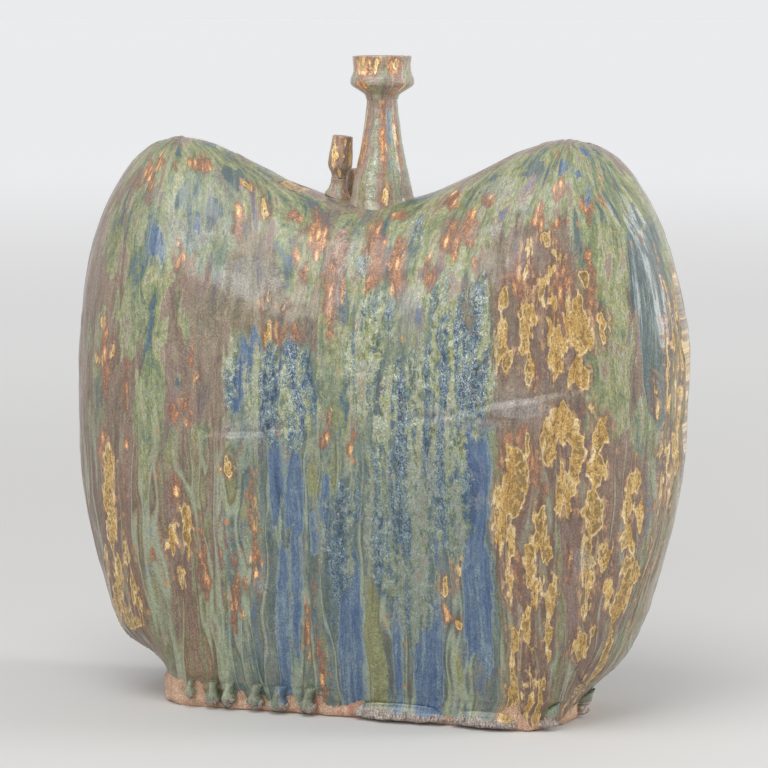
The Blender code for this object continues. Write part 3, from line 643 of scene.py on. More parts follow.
def glazeMaterial(name):
    paint = Painter(name)

    def around(size, share, detail=2.0, rough=0.55, warp=0.0):  # noise from about -1 to 1
        return paint.noise(size, share, detail, rough, warp) * 4 - 2

    def lay(under, *coats):  # coats of a colour and of how well it covers
        for tint, share in coats:
            under = paint.mix(under, tints[tint] if isinstance(tint, str) else tint, share)
        return under

    def tone(shares):  # a share from 0 to 1 out of the streaks
        return summed(0.5, shares) + cloud * 0.05

    def summed(total, shares):
        for part, share in zip(streaks, shares):
            if share:
                total = total + part * share
        return total

    broad, streak, hair = around(10.0, 0.06), around(4.2, 0.065, 3.0), around(1.2, 0.07)
    cloud, grain, lumps = around(45.0, 0.5), around(0.9, 0.8, 2.0, 0.7), around(4.0, 0.6, 3.0, 0.6, 0.6)
    crumb, scallop = around(1.9, 0.6, 3.0, 0.75, 0.4), around(3.0, 0.36, 0.0)
    vein, paleVein, contour = around(3.0, 0.045), around(3.4, 0.05), around(11.0, 0.045, 1.0, 0.5)
    mottle, spots = around(9.5, 0.27, 4.0, 0.66, 0.8), around(16.0, 0.22, 3.0, 0.6, 0.6)
    streaks = (broad, streak, hair, grain, lumps)
    specks, flecks = paint.cells(5.0), paint.cells(6.5, 0.6)
    chance = flecks.output(1)
    beads = 1 - (paint.cells(6.0, 0.38) + lumps * 0.1).step(0.12, 0.5)
    level = addNode(paint.tree, "ShaderNodeSeparateXYZ", {}, {0: paint.place}, 2)
    lobes = level.step(-30.0, 40.0)  # from the belly up
    leftEdge = level.output(0).step(-122.0, -148.0) * (1 - lobes * 0.7)
    saddle = level.output(1).step(-118.0, -142.0) * level.step(58.0, 98.0)
    turned = paint.attribute("turned")
    green = saddle * 0.22 + 0.22
    rough, shine = 0.4, 1.0
    height = streak * 0.14 + broad * 0.1 + hair * 0.08 + grain * 0.12 + lumps * 0.1
    colour = paint.ramp(tone((0.12, 0.14, 0.1, 0.1, 0.05)) + cloud * 0.06 + mottle * 0.14, plumStops)
    colour = lay(colour, ("plumCloud", (cloud + broad * 0.5).step(0.0, 0.9) * 0.6),
                 ("turnedClay", turned * 0.3))
    for key, spec in glazes.items():
        field = summed(paint.attribute(key), spec["fray"])
        if key in ("ochre", "rust"):
            field = field + scallop * 1.9
        if key == "ochre":
            field = field - 0.8
        mask = field.step(-spec["soft"], spec["soft"]) * spec["cover"]
        share = tone(spec["tone"])
        if key == "rust":
            share = share + beads * 0.4 + field.step(0.0, 5.0) * 0.2 + crumb * 0.1 + turned * 0.18 - 0.26
        if key == "ochre":
            share = share + beads * 0.12 + crumb * 0.16
        top = paint.ramp(share, spec["stops"])
        if spec["rim"]:
            top = lay(top, ("celadonLine", field.step(-0.5, 0.2) * (1 - field.step(0.5, 1.7)) * spec["rim"]))
        if key in ("moss", "teal", "olive", "celadon"):
            green = green + mask * (1 - green)
        if key == "teal":
            teal = mask
        if key == "slate":
            green = green * (1 - mask * lobes * 0.85)
            height = height * (1 - mask * lobes * 0.6)
        if key == "rust":  # mottling, veins of iron and of pale glaze run through all that lies below
            mixed = paint.ramp(mottle * 0.42 + spots * 0.38 + crumb * 0.14 + 0.5, mottleStops)
            brown = paint.ramp(tone((0.16, 0.24, 0.12, 0.1, 0.12)), brownStops)
            veins, lines = 1 - lobes * 0.65, 1 - abs(contour).step(0.0, 0.22)
            spot = (flecks + crumb * 0.1 + lumps * 0.08).step(0.34, 0.12)
            spot = spot * (cloud + broad * 0.5).step(-0.1, 0.5)
            colour = lay(
                colour,
                (mixed, green * (lobes * 0.5 + 0.35) * (1 - turned * 0.6) * (1 - teal * 0.45)),
                ("mottleBlue", green * (spots + mottle * 0.7).step(0.55, 1.0) * 0.7),
                (brown, (broad + streak * 0.5).step(-0.15, 0.35) * (1 - lobes) * (1 - teal * 0.92) * 0.85),
                ("edgeBrown", leftEdge * 0.55),
                ("ironVein", vein.step(0.45, 1.1) * veins * (1 - teal * 0.6) * 0.6),
                ("paleVein", paleVein.step(0.55, 1.2) * veins * 0.45),
                ("runLine", lines * veins * veins * 0.75),
                ("runShade", abs(contour + 0.22).step(0.1, 0.02) * veins * 0.5),
                ("warmSpot", spot * chance.step(0.6, 0.7) * 0.8),
                ("greenSpot", spot * chance.step(0.34, 0.26) * 0.5))
            height = height + lines * veins * 0.5 + mottle * 0.12
        if key == "ochre":
            pits = crumb * 1.3 + lumps * 0.9 + broad * 0.6
            colour = lay(colour, ("ochreHalo", field.step(-7.0, -1.5) * 0.55),
                         ("ochreGlow", field.step(-5.5, -0.6) * (lumps + streak).step(-0.1, 0.9) * 0.8),
                         ("ochreLine", field.step(-1.3, -0.4) * 0.4))
            top = lay(top, ("ochreRim", (1 - field.step(0.5, 1.9)) * (streak + lumps).step(-0.6, 0.6) * 0.8),
                      ("ochrePit", field.step(0.7, 2.4) * pits.step(-0.45, 0.55) * 0.85))
            height = height + mask * -0.5 + field.step(-1.3, -0.3) * (1 - mask) * 0.3
        if key == "curd":
            for size in (3.4, 2.1):
                thread = paint.noise(size, 0.6, 2.0, 0.6, 1.4) - 0.5
                lace = 1 - abs(thread).step(0.008, 0.042)
                top = lay(top, ("curdLace", lace * (mottle * 0.8 + lumps * 0.6 + 0.75).step(0.0, 1.0) * 0.9))
                height = height + mask * lace * 0.45
            top = lay(top, ("curdBlue", (1 - lobes) * 0.38))
            height = height + mask * lumps * 0.7
            mask = mask * (1 - turned * 0.45)
        # the milky patches and painted sheen, broken up by grain and lumps
        if key == "bloom_and_painted_sheen":
            mask = mask * (lumps * 0.3 + grain * 0.3 + 0.5).step(-0.6, 1.0)
        if key == "bare":
            top = lay(top, ("flush", (cloud + broad).step(0.5, 1.5) * 0.55))
            height = height + mask * (grain * 0.25 - 0.3)
        if key == "grit":
            height = height + mask * (grain * 0.5 + lumps * 0.4)
        if key in ("grit", "bare"):
            shine = (1 - mask) * shine
        colour = paint.mix(colour, top, mask)
        rough = paint.blend(rough, spec["rough"], mask)
    colour = lay(colour, ("speck", specks.step(0.1, 0.05) * (lumps + broad).step(0.5, 1.0) * 0.8))
    speckle = (1 + grain * 0.4 + crumb * 0.2 + lumps * 0.05) * (turned * 0.32 + 1) * finish["bright"]
    colour = addNode(paint.tree, "ShaderNodeGamma", {}, {0: colour, 1: finish["gamma"]})
    bump = addNode(paint.tree, "ShaderNodeBump", {}, {
        "Strength": finish["bump"], "Distance": finish["bumpDepth"], "Height": height})
    fill(paint.shader, {
        "Base Color": paint.vectors("SCALE", {0: colour, 3: speckle}), "Roughness": rough, "Normal": bump,
        "IOR": finish["ior"], "Coat Weight": shine * finish["coat"], "Coat Roughness": finish["coatRough"]})
    return paint.material


glaze = glazeMaterial("dripGlaze")
print("glaze made")


# The body's skin: a grid with even steps round the belly and down each column,
# from the front's foot over the top to the back's foot
def bodyColumns():
    columns, rows = body["columns"], body["rows"]
    right = edge[:, 0].argmax()
    loop = np.roll(edge, -right, axis=0)
    left = loop[:, 0].argmin()
    upper, lower = loop[:left + 1][::-1], np.vstack([loop[left:], loop[:1]])
    x = np.interp(np.linspace(-leftGirth, rightGirth, columns), girth, bellyX)
    x = x * np.where(x > 0, edge[:, 0].max() / ends[1], edge[:, 0].min() / ends[0])
    top = np.interp(x, upper[:, 0], upper[:, 1])
    base = np.interp(x, lower[:, 0], lower[:, 1])
    bottom = np.maximum(base, body["bottom"])
    share = (1 - np.cos(np.linspace(0, math.pi, 200))) / 2
    z = top[:, None] + (bottom - top)[:, None] * share
    y = depthAt(np.repeat(x[:, None], len(share), 1), z)
    y[:, 0] = 0
    y[base >= body["bottom"], -1] = 0
    along = lengthAlong(y, z)
    evenY, evenZ = np.empty((columns, rows + 1)), np.empty((columns, rows + 1))
    for k in range(columns):
        places = np.linspace(0, along[k, -1], rows + 1)
        evenY[k], evenZ[k] = np.interp(places, along[k], y[k]), np.interp(places, along[k], z[k])
    x = np.repeat(x[:, None], rows + 1, 1)
    front = np.stack([x, -evenY, evenZ], axis=-1)[:, ::-1]
    back = np.stack([x, evenY, evenZ], axis=-1)[:, 1:]
    return np.concatenate([front, back], axis=1), base > body["bottom"]


def bodyNormals(points, closed):
    normals = gridNormals(points)
    meeting = normals[closed, 0] + normals[closed, -1]
    meeting /= np.maximum(np.linalg.norm(meeting, axis=-1, keepdims=True), 1e-12)
    normals[closed, 0] = normals[closed, -1] = meeting
    normals[0], normals[-1] = (-1, 0, 0), (1, 0, 0)
    return normals


# Marks of hand building, in millimetres: the lapped joint where it shows, with its
# place down the flow along it and how proud it stands, then folds and dents
hand = {
    "laps": [([28, 45, 60, 78, 108, 132, 152, 176, 196], [-22, -25, -27, -30, -39, -43, -48, -52, -54],
              [0, 1.0, 2.1, 2.4, 2.5, 2.0, 1.5, 0.7, 0]),
             ([-104, -91, -62, -33, -18], [-9, -10, -12, -16, -18], [0, 1.3, 1.7, 1.1, 0])],
    "folds": [(1, -182, -5, -74, 4.5, 1.5), (-12, -150, -2, -35, 5, 0.9), (30, -150, 36, -60, 6, 0.8),
              (-70, -60, -84, 40, 7, 0.8)],
    "dents": [(99, 26, 9, 0.9), (-59, 93, 8, 0.9), (-141, -111, 10, 0.9), (55, 19, 9, 0.7),
              (60, -20, 12, 0.8), (-108, -165, 16, 1.0), (-31, -95, 22, -1.2), (150, -70, 20, -0.9),
              (-120, 60, 24, -1.0), (20, 90, 20, -0.8), (130, 110, 22, 0.9), (-160, -30, 18, 0.9),
              (200, -60, 22, -1.0)],
}


def handMarks(s, t):
    s, t = s * 1000, t * 1000
    total = np.zeros_like(s)
    for along, level, proud in hand["laps"]:
        below = t - np.interp(s, along, level)
        high = np.interp(s, along, proud, left=0, right=0)
        total += high * smooth(-0.6, 2.4, below) * np.exp(-np.clip(below, 0, None) / 26)
        total -= high * 0.45 * np.exp(-((below + 1.8) / 1.7) ** 2)
    for s0, t0, s1, t1, width, high in hand["folds"]:
        share = (t - t0) / (t1 - t0)
        off = s - (s0 + (s1 - s0) * share) - 2.5 * np.sin(share * 9)
        total += high * smooth(0, 0.2, share) * smooth(1, 0.7, share) * np.exp(-(off / width) ** 2)
    for s0, t0, size, high in hand["dents"]:
        total += high * np.exp(-((s - s0) ** 2 + (t - t0) ** 2) / size ** 2)
    return total / 1000


def relief(s, t, fields, places):  # height of the glaze and of the uneven slabs, in metres
    streak = (noiseA(places, 0.0065, 9) + noiseB(places, 0.0035, 8) * 0.6 - 0.8) * 0.0009
    slabs = (noiseC(places, 0.055, 1.2) - 0.6) * 0.0022 + (noiseA(places, 0.024, 1.2) - 0.6) * 0.0011
    slabs += (noiseB(places, 0.0095, 1.1) - 0.5) * 0.0006 + (noiseC(places, 0.0045, 1.3) - 0.5) * 0.0003
    lumps = (noiseB(places, 0.0042, 1.4) - 0.4) * 0.0016 + (noiseC(places, 0.0028, 1.6) - 0.5) * 0.0007
    pools = smooth(-1, 2, fields["ochre"]) * -0.0006 + smooth(-1, 1, fields["cobalt"]) * -0.0003
    pools += smooth(-2.5, -0.6, fields["ochre"]) * 0.0003
    return streak + slabs + pools + smooth(-2, 3, fields["curd"]) * (lumps + 0.0004)


def meetSides(fields, places, closed):  # both sides' glaze meet gently along the left and right edges
    half, count = body["rows"], body["blend"]
    for front, back, way, where in [(half, half + 1, -1, np.ones_like(closed)), (0, 2 * half, 1, closed)]:
        gap = np.linalg.norm(places[:, front] - places[:, back], axis=1)
        near = smooth(*body["blendGap"], gap) * where
        for values in [*fields.values(), places]:
            near = near.reshape(-1, *[1] * (values.ndim - 2))
            for k in range(count):
                share = 0.5 * (1 - k / count) * near
                one, other = values[:, front + way * k].copy(), values[:, back - way * k].copy()
                values[:, front + way * k] = one + (other - one) * share
                values[:, back - way * k] = other + (one - other) * share


def shellFaces(index, innerIndex, kept):  # outer skin, inner skin and the rims between them
    coarse = body["coarse"]
    fine = np.repeat(np.repeat(kept, coarse, 0), coarse, 1)
    quads = np.array(gridFaces(index))[fine.ravel()].tolist()
    quads += [face[::-1] for face in np.array(gridFaces(innerIndex))[kept.ravel()].tolist()]
    for i, j in zip(*np.nonzero(kept)):
        i0, j0, i1, j1 = i * coarse, j * coarse, (i + 1) * coarse, (j + 1) * coarse
        if j == 0 or not kept[i, j - 1]:
            quads.append(index[i0:i1 + 1, j0][::-1].tolist() + [innerIndex[i, j], innerIndex[i + 1, j]])
        if j == kept.shape[1] - 1 or not kept[i, j + 1]:
            quads.append(index[i0:i1 + 1, j1].tolist() + [innerIndex[i + 1, j + 1], innerIndex[i, j + 1]])
        if i > 0 and not kept[i - 1, j]:
            quads.append(index[i0, j0:j1 + 1].tolist() + [innerIndex[i, j + 1], innerIndex[i, j]])
        if i < kept.shape[0] - 1 and not kept[i + 1, j]:
            quads.append(index[i1, j0:j1 + 1][::-1].tolist()
                         + [innerIndex[i + 1, j], innerIndex[i + 1, j + 1]])
    return tidyFaces(quads)


def buildBody():
    points, closed = bodyColumns()
    normals = bodyNormals(points, closed)
    half, coarse, inset = body["rows"], body["coarse"], body["inset"]
    s, t = flowAt(points[..., 0], points[..., 2])
    s[:, half + 1:] = toBack(s[:, half + 1:])
    fields = paintGlazes(s, t, wholeGirth, glazeLayout)
    places = wrapped(s, t)
    meetSides(fields, places, closed)
    height = relief(s, t, fields, places) + handMarks(s, t) - inset
    height[[0, -1]] = -inset
    meeting = (height[closed, 0] + height[closed, -1]) / 2
    height[closed, 0] = height[closed, -1] = meeting
    base = points - normals * inset
    points = points + normals * height[..., None]
    over = np.clip(points[..., 0] - body["rightLimit"], 0, None)  # the right edge stays inside the CAD
    points[..., 0] -= over * body["overLimit"]
    normals = bodyNormals(points, closed)
    fields["flow"] = places
    lower = {}
    for side, rows, end in (("front", slice(0, half + 1), 0), ("back", slice(half, 2 * half + 1), -1)):
        outer = points[:, rows]
        index = numbered(outer.shape)
        thick = normals[:, rows] * body["wall"]
        inner = (base[:, rows] - thick)[::coarse, ::coarse]
        inner[..., 1] = np.minimum(inner[..., 1], 0) if side == "front" else np.maximum(inner[..., 1], 0)
        inner[..., 2] = np.maximum(inner[..., 2], body["bottom"])
        innerIndex = numbered(inner.shape, index.size)
        for numbers in (index, innerIndex):
            numbers[0], numbers[-1] = numbers[0, 0], numbers[-1, 0]
        corners = outer[::coarse, ::coarse]
        middle = (corners[:-1, :-1] + corners[1:, 1:]) / 2
        kept = np.hypot(middle[..., 0] - body["neckX"], middle[..., 1]) > body["neckHole"]
        kept |= middle[..., 2] < body["belly"]
        faces = shellFaces(index, innerIndex, kept)
        used = np.unique(np.concatenate([np.array(face) for face in faces]))
        renumber = np.zeros(index.size + innerIndex.size, int)
        renumber[used] = np.arange(len(used))
        faces = [renumber[face].tolist() for face in faces]

        def shown(onOuter, onInner):
            both = [part.reshape(-1, *part.shape[2:]) for part in (onOuter, onInner)]
            return np.concatenate(both)[used]

        sides = {key: values[:, rows] for key, values in fields.items()}
        makePiece(side + "_body", shown(outer, inner), faces,
                  {key: shown(part, part[::coarse, ::coarse]) for key, part in sides.items()},
                  (side + "_lower_wall", side + "_upper_wall"),
                  shown(normals[:, rows], -thick[::coarse, ::coarse]))
        edgeX = base[~closed, end, 0]
        depth = depthAt(edgeX, np.full_like(edgeX, body["bottom"]))
        lower[side] = edgeX, depth, s[~closed, end], t[~closed, end]
    return lower


bottomLine = buildBody()


# Foot: loops round the body's lower edge, drawn in below it. Each level is a height, how
# far it is drawn in, and its share of the shift to the left
foot = {
    "turns": 480, "rings": 40, "shift": -0.0048, "floor": 0.0125, "wall": 0.012, "ends": 0.1,
    "top": 0.021, "aboveTop": 0.0213, "lift": 0.004, "liftEnds": (0.985, 0.998),
    "levels": [(0.0, 0.0085, 1.0), (0.0012, 0.0052, 1.0), (0.004, 0.004, 1.0), (0.0085, 0.0046, 1.0),
               (0.013, 0.0038, 0.9), (0.017, 0.002, 0.5), (0.0195, 0.0006, 0.15), (0.021, 0.0, 0.0)],
    "glazeEdge": 0.0115, "unevenness": 0.0012, "pores": 0.0008, "glazeFade": (0.0195, 0.014),
    "edgeStep": 0.0004, "edgeWidth": 1.2, "easedBottom": 0.0012, "runReach": 0.46,
    "underRun": 0.013, "underPool": 0.004,
    "arches": [(-1, 0.02, 0.05, 0.003), (-1, 0.09, 0.135, 0.007), (1, 0.1, 0.118, 0.006)],
}

# Where each run froze, in metres: place along the foot, width, thickness, top and bottom
runs = {
    "front_run_1": (-0.1197, 0.007, 0.003, 0.034, 0.006),
    "front_run_2": (-0.1032, 0.012, 0.0045, 0.034, 0.0015),
    "front_run_3": (-0.0912, 0.012, 0.0045, 0.034, 0.0015),
    "front_run_4": (-0.0717, 0.013, 0.0045, 0.032, 0.0015),
    "front_run_5": (-0.0541, 0.016, 0.006, 0.03, 0.001),
    "front_run_6": (-0.0319, 0.012, 0.006, 0.03, 0.001),
    "front_pool_1": (0.034, 0.066, 0.006, 0.014, 0.0012),
    "front_pool_2": (0.0954, 0.046, 0.006, 0.013, 0.0012),
    "front_run_7": (0.138, 0.015, 0.0055, 0.022, 0.001),
    "front_run_8": (0.1522, 0.014, 0.0055, 0.022, 0.001),
    "back_run_1": (-0.1172, 0.013, 0.0045, 0.033, 0.0015),
    "back_run_2": (-0.0668, 0.012, 0.0045, 0.032, 0.003),
    "back_pool_1": (-0.0085, 0.058, 0.006, 0.014, 0.0012),
    "back_run_3": (0.0513, 0.013, 0.0045, 0.032, 0.0015),
    "back_run_4": (0.1033, 0.011, 0.004, 0.034, 0.004)
}


def footLine(front, places):  # half thickness, flow place and its depth along the body's lower edge
    lines = [[np.interp(places, bottomLine[side][0], values) for values in bottomLine[side][1:]]
             for side in ("front", "back")]
    return np.where(front, *lines)


footEnds = bottomLine["front"][0][[0, -1]]
footMiddle, footHalf = footEnds.sum() / 2, (footEnds[1] - footEnds[0]) / 2


def footInset(z):
    heights, insets, shifts = np.array(foot["levels"]).T
    return np.interp(z, heights, insets), np.interp(z, heights, shifts) * foot["shift"]


def footPoints(turn, z):
    inset, shift = footInset(z)
    x = footMiddle + footHalf * np.cos(turn)
    half = np.where(np.abs(np.sin(turn)) < 1e-6, 0, footLine(np.sin(turn) < 0, x)[0])
    y = np.clip(half - inset * np.abs(np.sin(turn)), 0, None) * np.clip(np.sin(turn) / foot["ends"], -1, 1)
    return np.stack([x + shift - inset * np.cos(turn), y, z + 0 * x], axis=-1)


def footSlide(x, z):  # where a place of the leaning foot is under the body
    return x + footInset(z)[1] * (1 - ((x - footMiddle) / footHalf) ** 6)


def footFlow(x, front, z):
    _, s, t = footLine(front, x)
    return s, t + body["bottom"] - z


def glazeEdge(x, front):  # how far above the floor the glaze stopped
    places = np.stack([x, np.where(front, -0.5, 0.5), 0 * x], axis=-1)
    level = foot["glazeEdge"] + (noiseA(places, 0.011) - 0.5) * 0.009 + (noiseB(places, 0.004) - 0.5) * 0.003
    level += sum(high * smooth(start, end, x * way) for way, start, end, high in foot["arches"])
    for name, (middle, width, *_) in runs.items():
        near = np.exp(-((x - middle) / (width * foot["runReach"])) ** 2)
        drop = near * foot["underPool" if "pool" in name else "underRun"]
        level -= np.where(front == name.startswith("front"), drop, 0)
    return level


def buildFoot():
    turn = np.linspace(-math.pi, math.pi, foot["turns"], endpoint=False)
    levels = [level[0] for level in foot["levels"]]
    heights = np.interp(np.linspace(0, len(levels) - 1, foot["rings"]), range(len(levels)), levels)
    turnGrid, z = np.meshgrid(turn, heights, indexing="ij")
    points = footPoints(turnGrid, z)
    x = footMiddle + footHalf * np.cos(turnGrid)
    front = np.sin(turnGrid) < 0
    s, t = footFlow(footSlide(x, z), front, z)
    fields = paintGlazes(s, t, wholeGirth, glazeLayout)
    seam = wrapped(np.where(np.cos(turnGrid) < 0, -leftGirth, rightGirth), t)
    places = seam + (wrapped(s, t) - seam) * np.clip(np.abs(np.sin(turnGrid)) / foot["ends"], 0, 1)[..., None]
    bare = (glazeEdge(x, front) - z) * 1000
    fields["bare"] = np.clip(bare, -fieldReach, fieldReach)
    normals = gridNormals(points, around=True)
    share = smooth(*foot["glazeFade"], z)
    height = relief(s, t, fields, places) - body["inset"]
    clay = (noiseB(points, 0.009) - 0.5) * 2 * foot["unevenness"]
    clay += (noiseA(points, 0.0028) - 0.5) * foot["pores"]
    height = height * (1 - share) + clay * share - smooth(0, foot["edgeWidth"], bare) * foot["edgeStep"]
    height *= smooth(0, foot["easedBottom"], z)
    points = points + normals * height[..., None]
    lift = foot["lift"] * smooth(*foot["liftEnds"], np.abs(np.cos(turn)))  # the ends reach into the body
    lift = lift[:, None] * (0, 0, 1)
    points[:, -1] += lift
    inner = footPoints(turn, np.full(len(turn), foot["top"])) + lift
    inner = inner - normals[:, -1] * foot["wall"] * (1, 1, 0)
    floor = inner * (1, 1, 0) + (0, 0, foot["floor"])
    points = np.concatenate([points, inner[:, None], floor[:, None]], axis=1)
    index = numbered(points.shape)
    faces = gridFaces(index, around=True) + [index[:, 0][::-1].tolist(), index[:, -1].tolist()]
    fields["flow"] = places
    fields = {key: np.concatenate([v, v[:, -1:], v[:, -1:]], axis=1) for key, v in fields.items()}
    makePiece("foot", points, faces, fields, ["foot_slab"])


buildFoot()


# A run is a thin trail that ends in a bead, and a pool is a low ridge. Heights in metres
runShape = {
    "poolGrid": (150, 26), "runGrid": (48, 44), "bead": (0.6, 0.84, 0.16),
    "runWide": (0.52, 0.48), "runDeep": (0.35, 0.65), "poolWide": (0.8, 0.2), "poolDeep": (0.35, 0.65),
    "planHeight": 0.006, "planSteps": 400, "margin": 0.02, "probe": 0.01,
    "flush": 0.0008, "flushTop": (0.036, 0.021), "flushBottom": (0.0035, 0.013), "runLumps": 0.6,
    "lowest": 0.0004, "grit": 0.008, "rightGrit": 0.0105, "rightFrom": 0.13, "gritWaves": 0.007,
    "runCeladon": 3.5, "poolCeladon": -1.0, "teal": 4.0,
}


def buildRun(name, middle, width, thick, top, bottom):
    pool = "pool" in name
    side = -1 if name.startswith("front") else 1
    shape = runShape
    around, rings = shape["poolGrid" if pool else "runGrid"]
    angle = np.linspace(0, math.tau, around, endpoint=False)
    angle, share = np.meshgrid(angle, np.linspace(0, 1, rings), indexing="ij")
    if pool:
        (wide, moreWide), (deep, moreDeep) = shape["poolWide"], shape["poolDeep"]
        wide = (wide + moreWide * smooth(0.1, 0.7, share)) * np.sqrt(np.clip(1 - (2 * share - 1) ** 6, 0, 1))
        deep = (deep + moreDeep * smooth(0.1, 0.75, share)) * np.sqrt(np.clip(1 - (2 * share - 1) ** 4, 0, 1))
    else:
        (wide, beadWide), (deep, beadDeep) = shape["runWide"], shape["runDeep"]
        beadTop, beadMiddle, beadHeight = shape["bead"]
        cap = np.clip(share - beadMiddle, 0, 1) / beadHeight
        bead = smooth(beadTop, beadMiddle, share) * np.sqrt(np.clip(1 - cap ** 2, 0, 1))
        tail = 1 - smooth(0.8, 1.0, share)
        wide = wide * smooth(0, 0.35, share) * tail + beadWide * bead
        deep = deep * smooth(0, 0.5, share) * tail + beadDeep * bead
    z = top + (bottom - top) * share
    turns = np.linspace(shape["margin"], math.pi - shape["margin"], shape["planSteps"]) * side
    plan = footPoints(turns, np.full(len(turns), shape["planHeight"]))
    along = lengthAlong(*plan[:, :2].T)
    start = along[np.abs(plan[:, 0] - middle).argmin()]
    turn = np.interp(start + np.cos(angle) * wide * width / 2, along, turns)
    x = footMiddle + footHalf * np.cos(turn)
    low, high = np.minimum(z, foot["top"]), np.maximum(z, foot["aboveTop"])
    surface = footPoints(turn, low)
    step = footPoints(turn + shape["probe"] * side, low) - surface
    out = np.stack([step[..., 1], -step[..., 0], 0 * z], axis=-1) * -side
    out /= np.linalg.norm(out, axis=-1, keepdims=True)
    wall = depthAt(x, high) - depthAt(x, np.full_like(x, foot["aboveTop"]))
    flush = footInset(z)[0] + shape["flush"] * smooth(*shape["flushTop"], z)
    flush = 0 if pool else flush * smooth(*shape["flushBottom"], z)
    points = surface + out * (np.sin(angle) * (deep * thick + flush) - body["inset"])[..., None]
    points[..., 1] += np.where(z > foot["top"], wall, 0) * side
    normals = gridNormals(points, around=True)
    lumps = (noiseA(points, 0.0042) - 0.5) * 0.0026 + (noiseB(points, 0.0019) - 0.5) * 0.0012
    bulge = smooth(0.35, 0.8, share) * (1 - (2 * np.clip(share, 0.5, 1) - 1) ** 8)
    points = points + normals * (lumps * bulge * (1.0 if pool else shape["runLumps"]))[..., None]
    points[..., 2] = np.maximum(points[..., 2], shape["lowest"])
    s, t = footFlow(footSlide(x, z), np.full(x.shape, side < 0), z)
    fields = paintGlazes(s, t, wholeGirth, glazeLayout)
    gritEdge = shape["rightGrit" if middle > shape["rightFrom"] else "grit"]
    gritEdge = gritEdge + (noiseC(points, 0.004) - 0.5) * shape["gritWaves"]
    fields["grit"] = np.clip((gritEdge - z) * 1000, -fieldReach, fieldReach)
    fields["celadon"] = np.maximum(fields["celadon"], shape["poolCeladon" if pool else "runCeladon"])
    fields["teal"] = np.maximum(fields["teal"], shape["teal"])
    fields["flow"] = wrapped(s, t)
    index = numbered(points.shape)
    faces = gridFaces(index, around=True) + [index[:, 0].tolist(), index[:, -1][::-1].tolist()]
    makePiece(name + "_glaze", points, faces, fields, [name])


for name, sizes in runs.items():
    buildRun(name, *sizes)

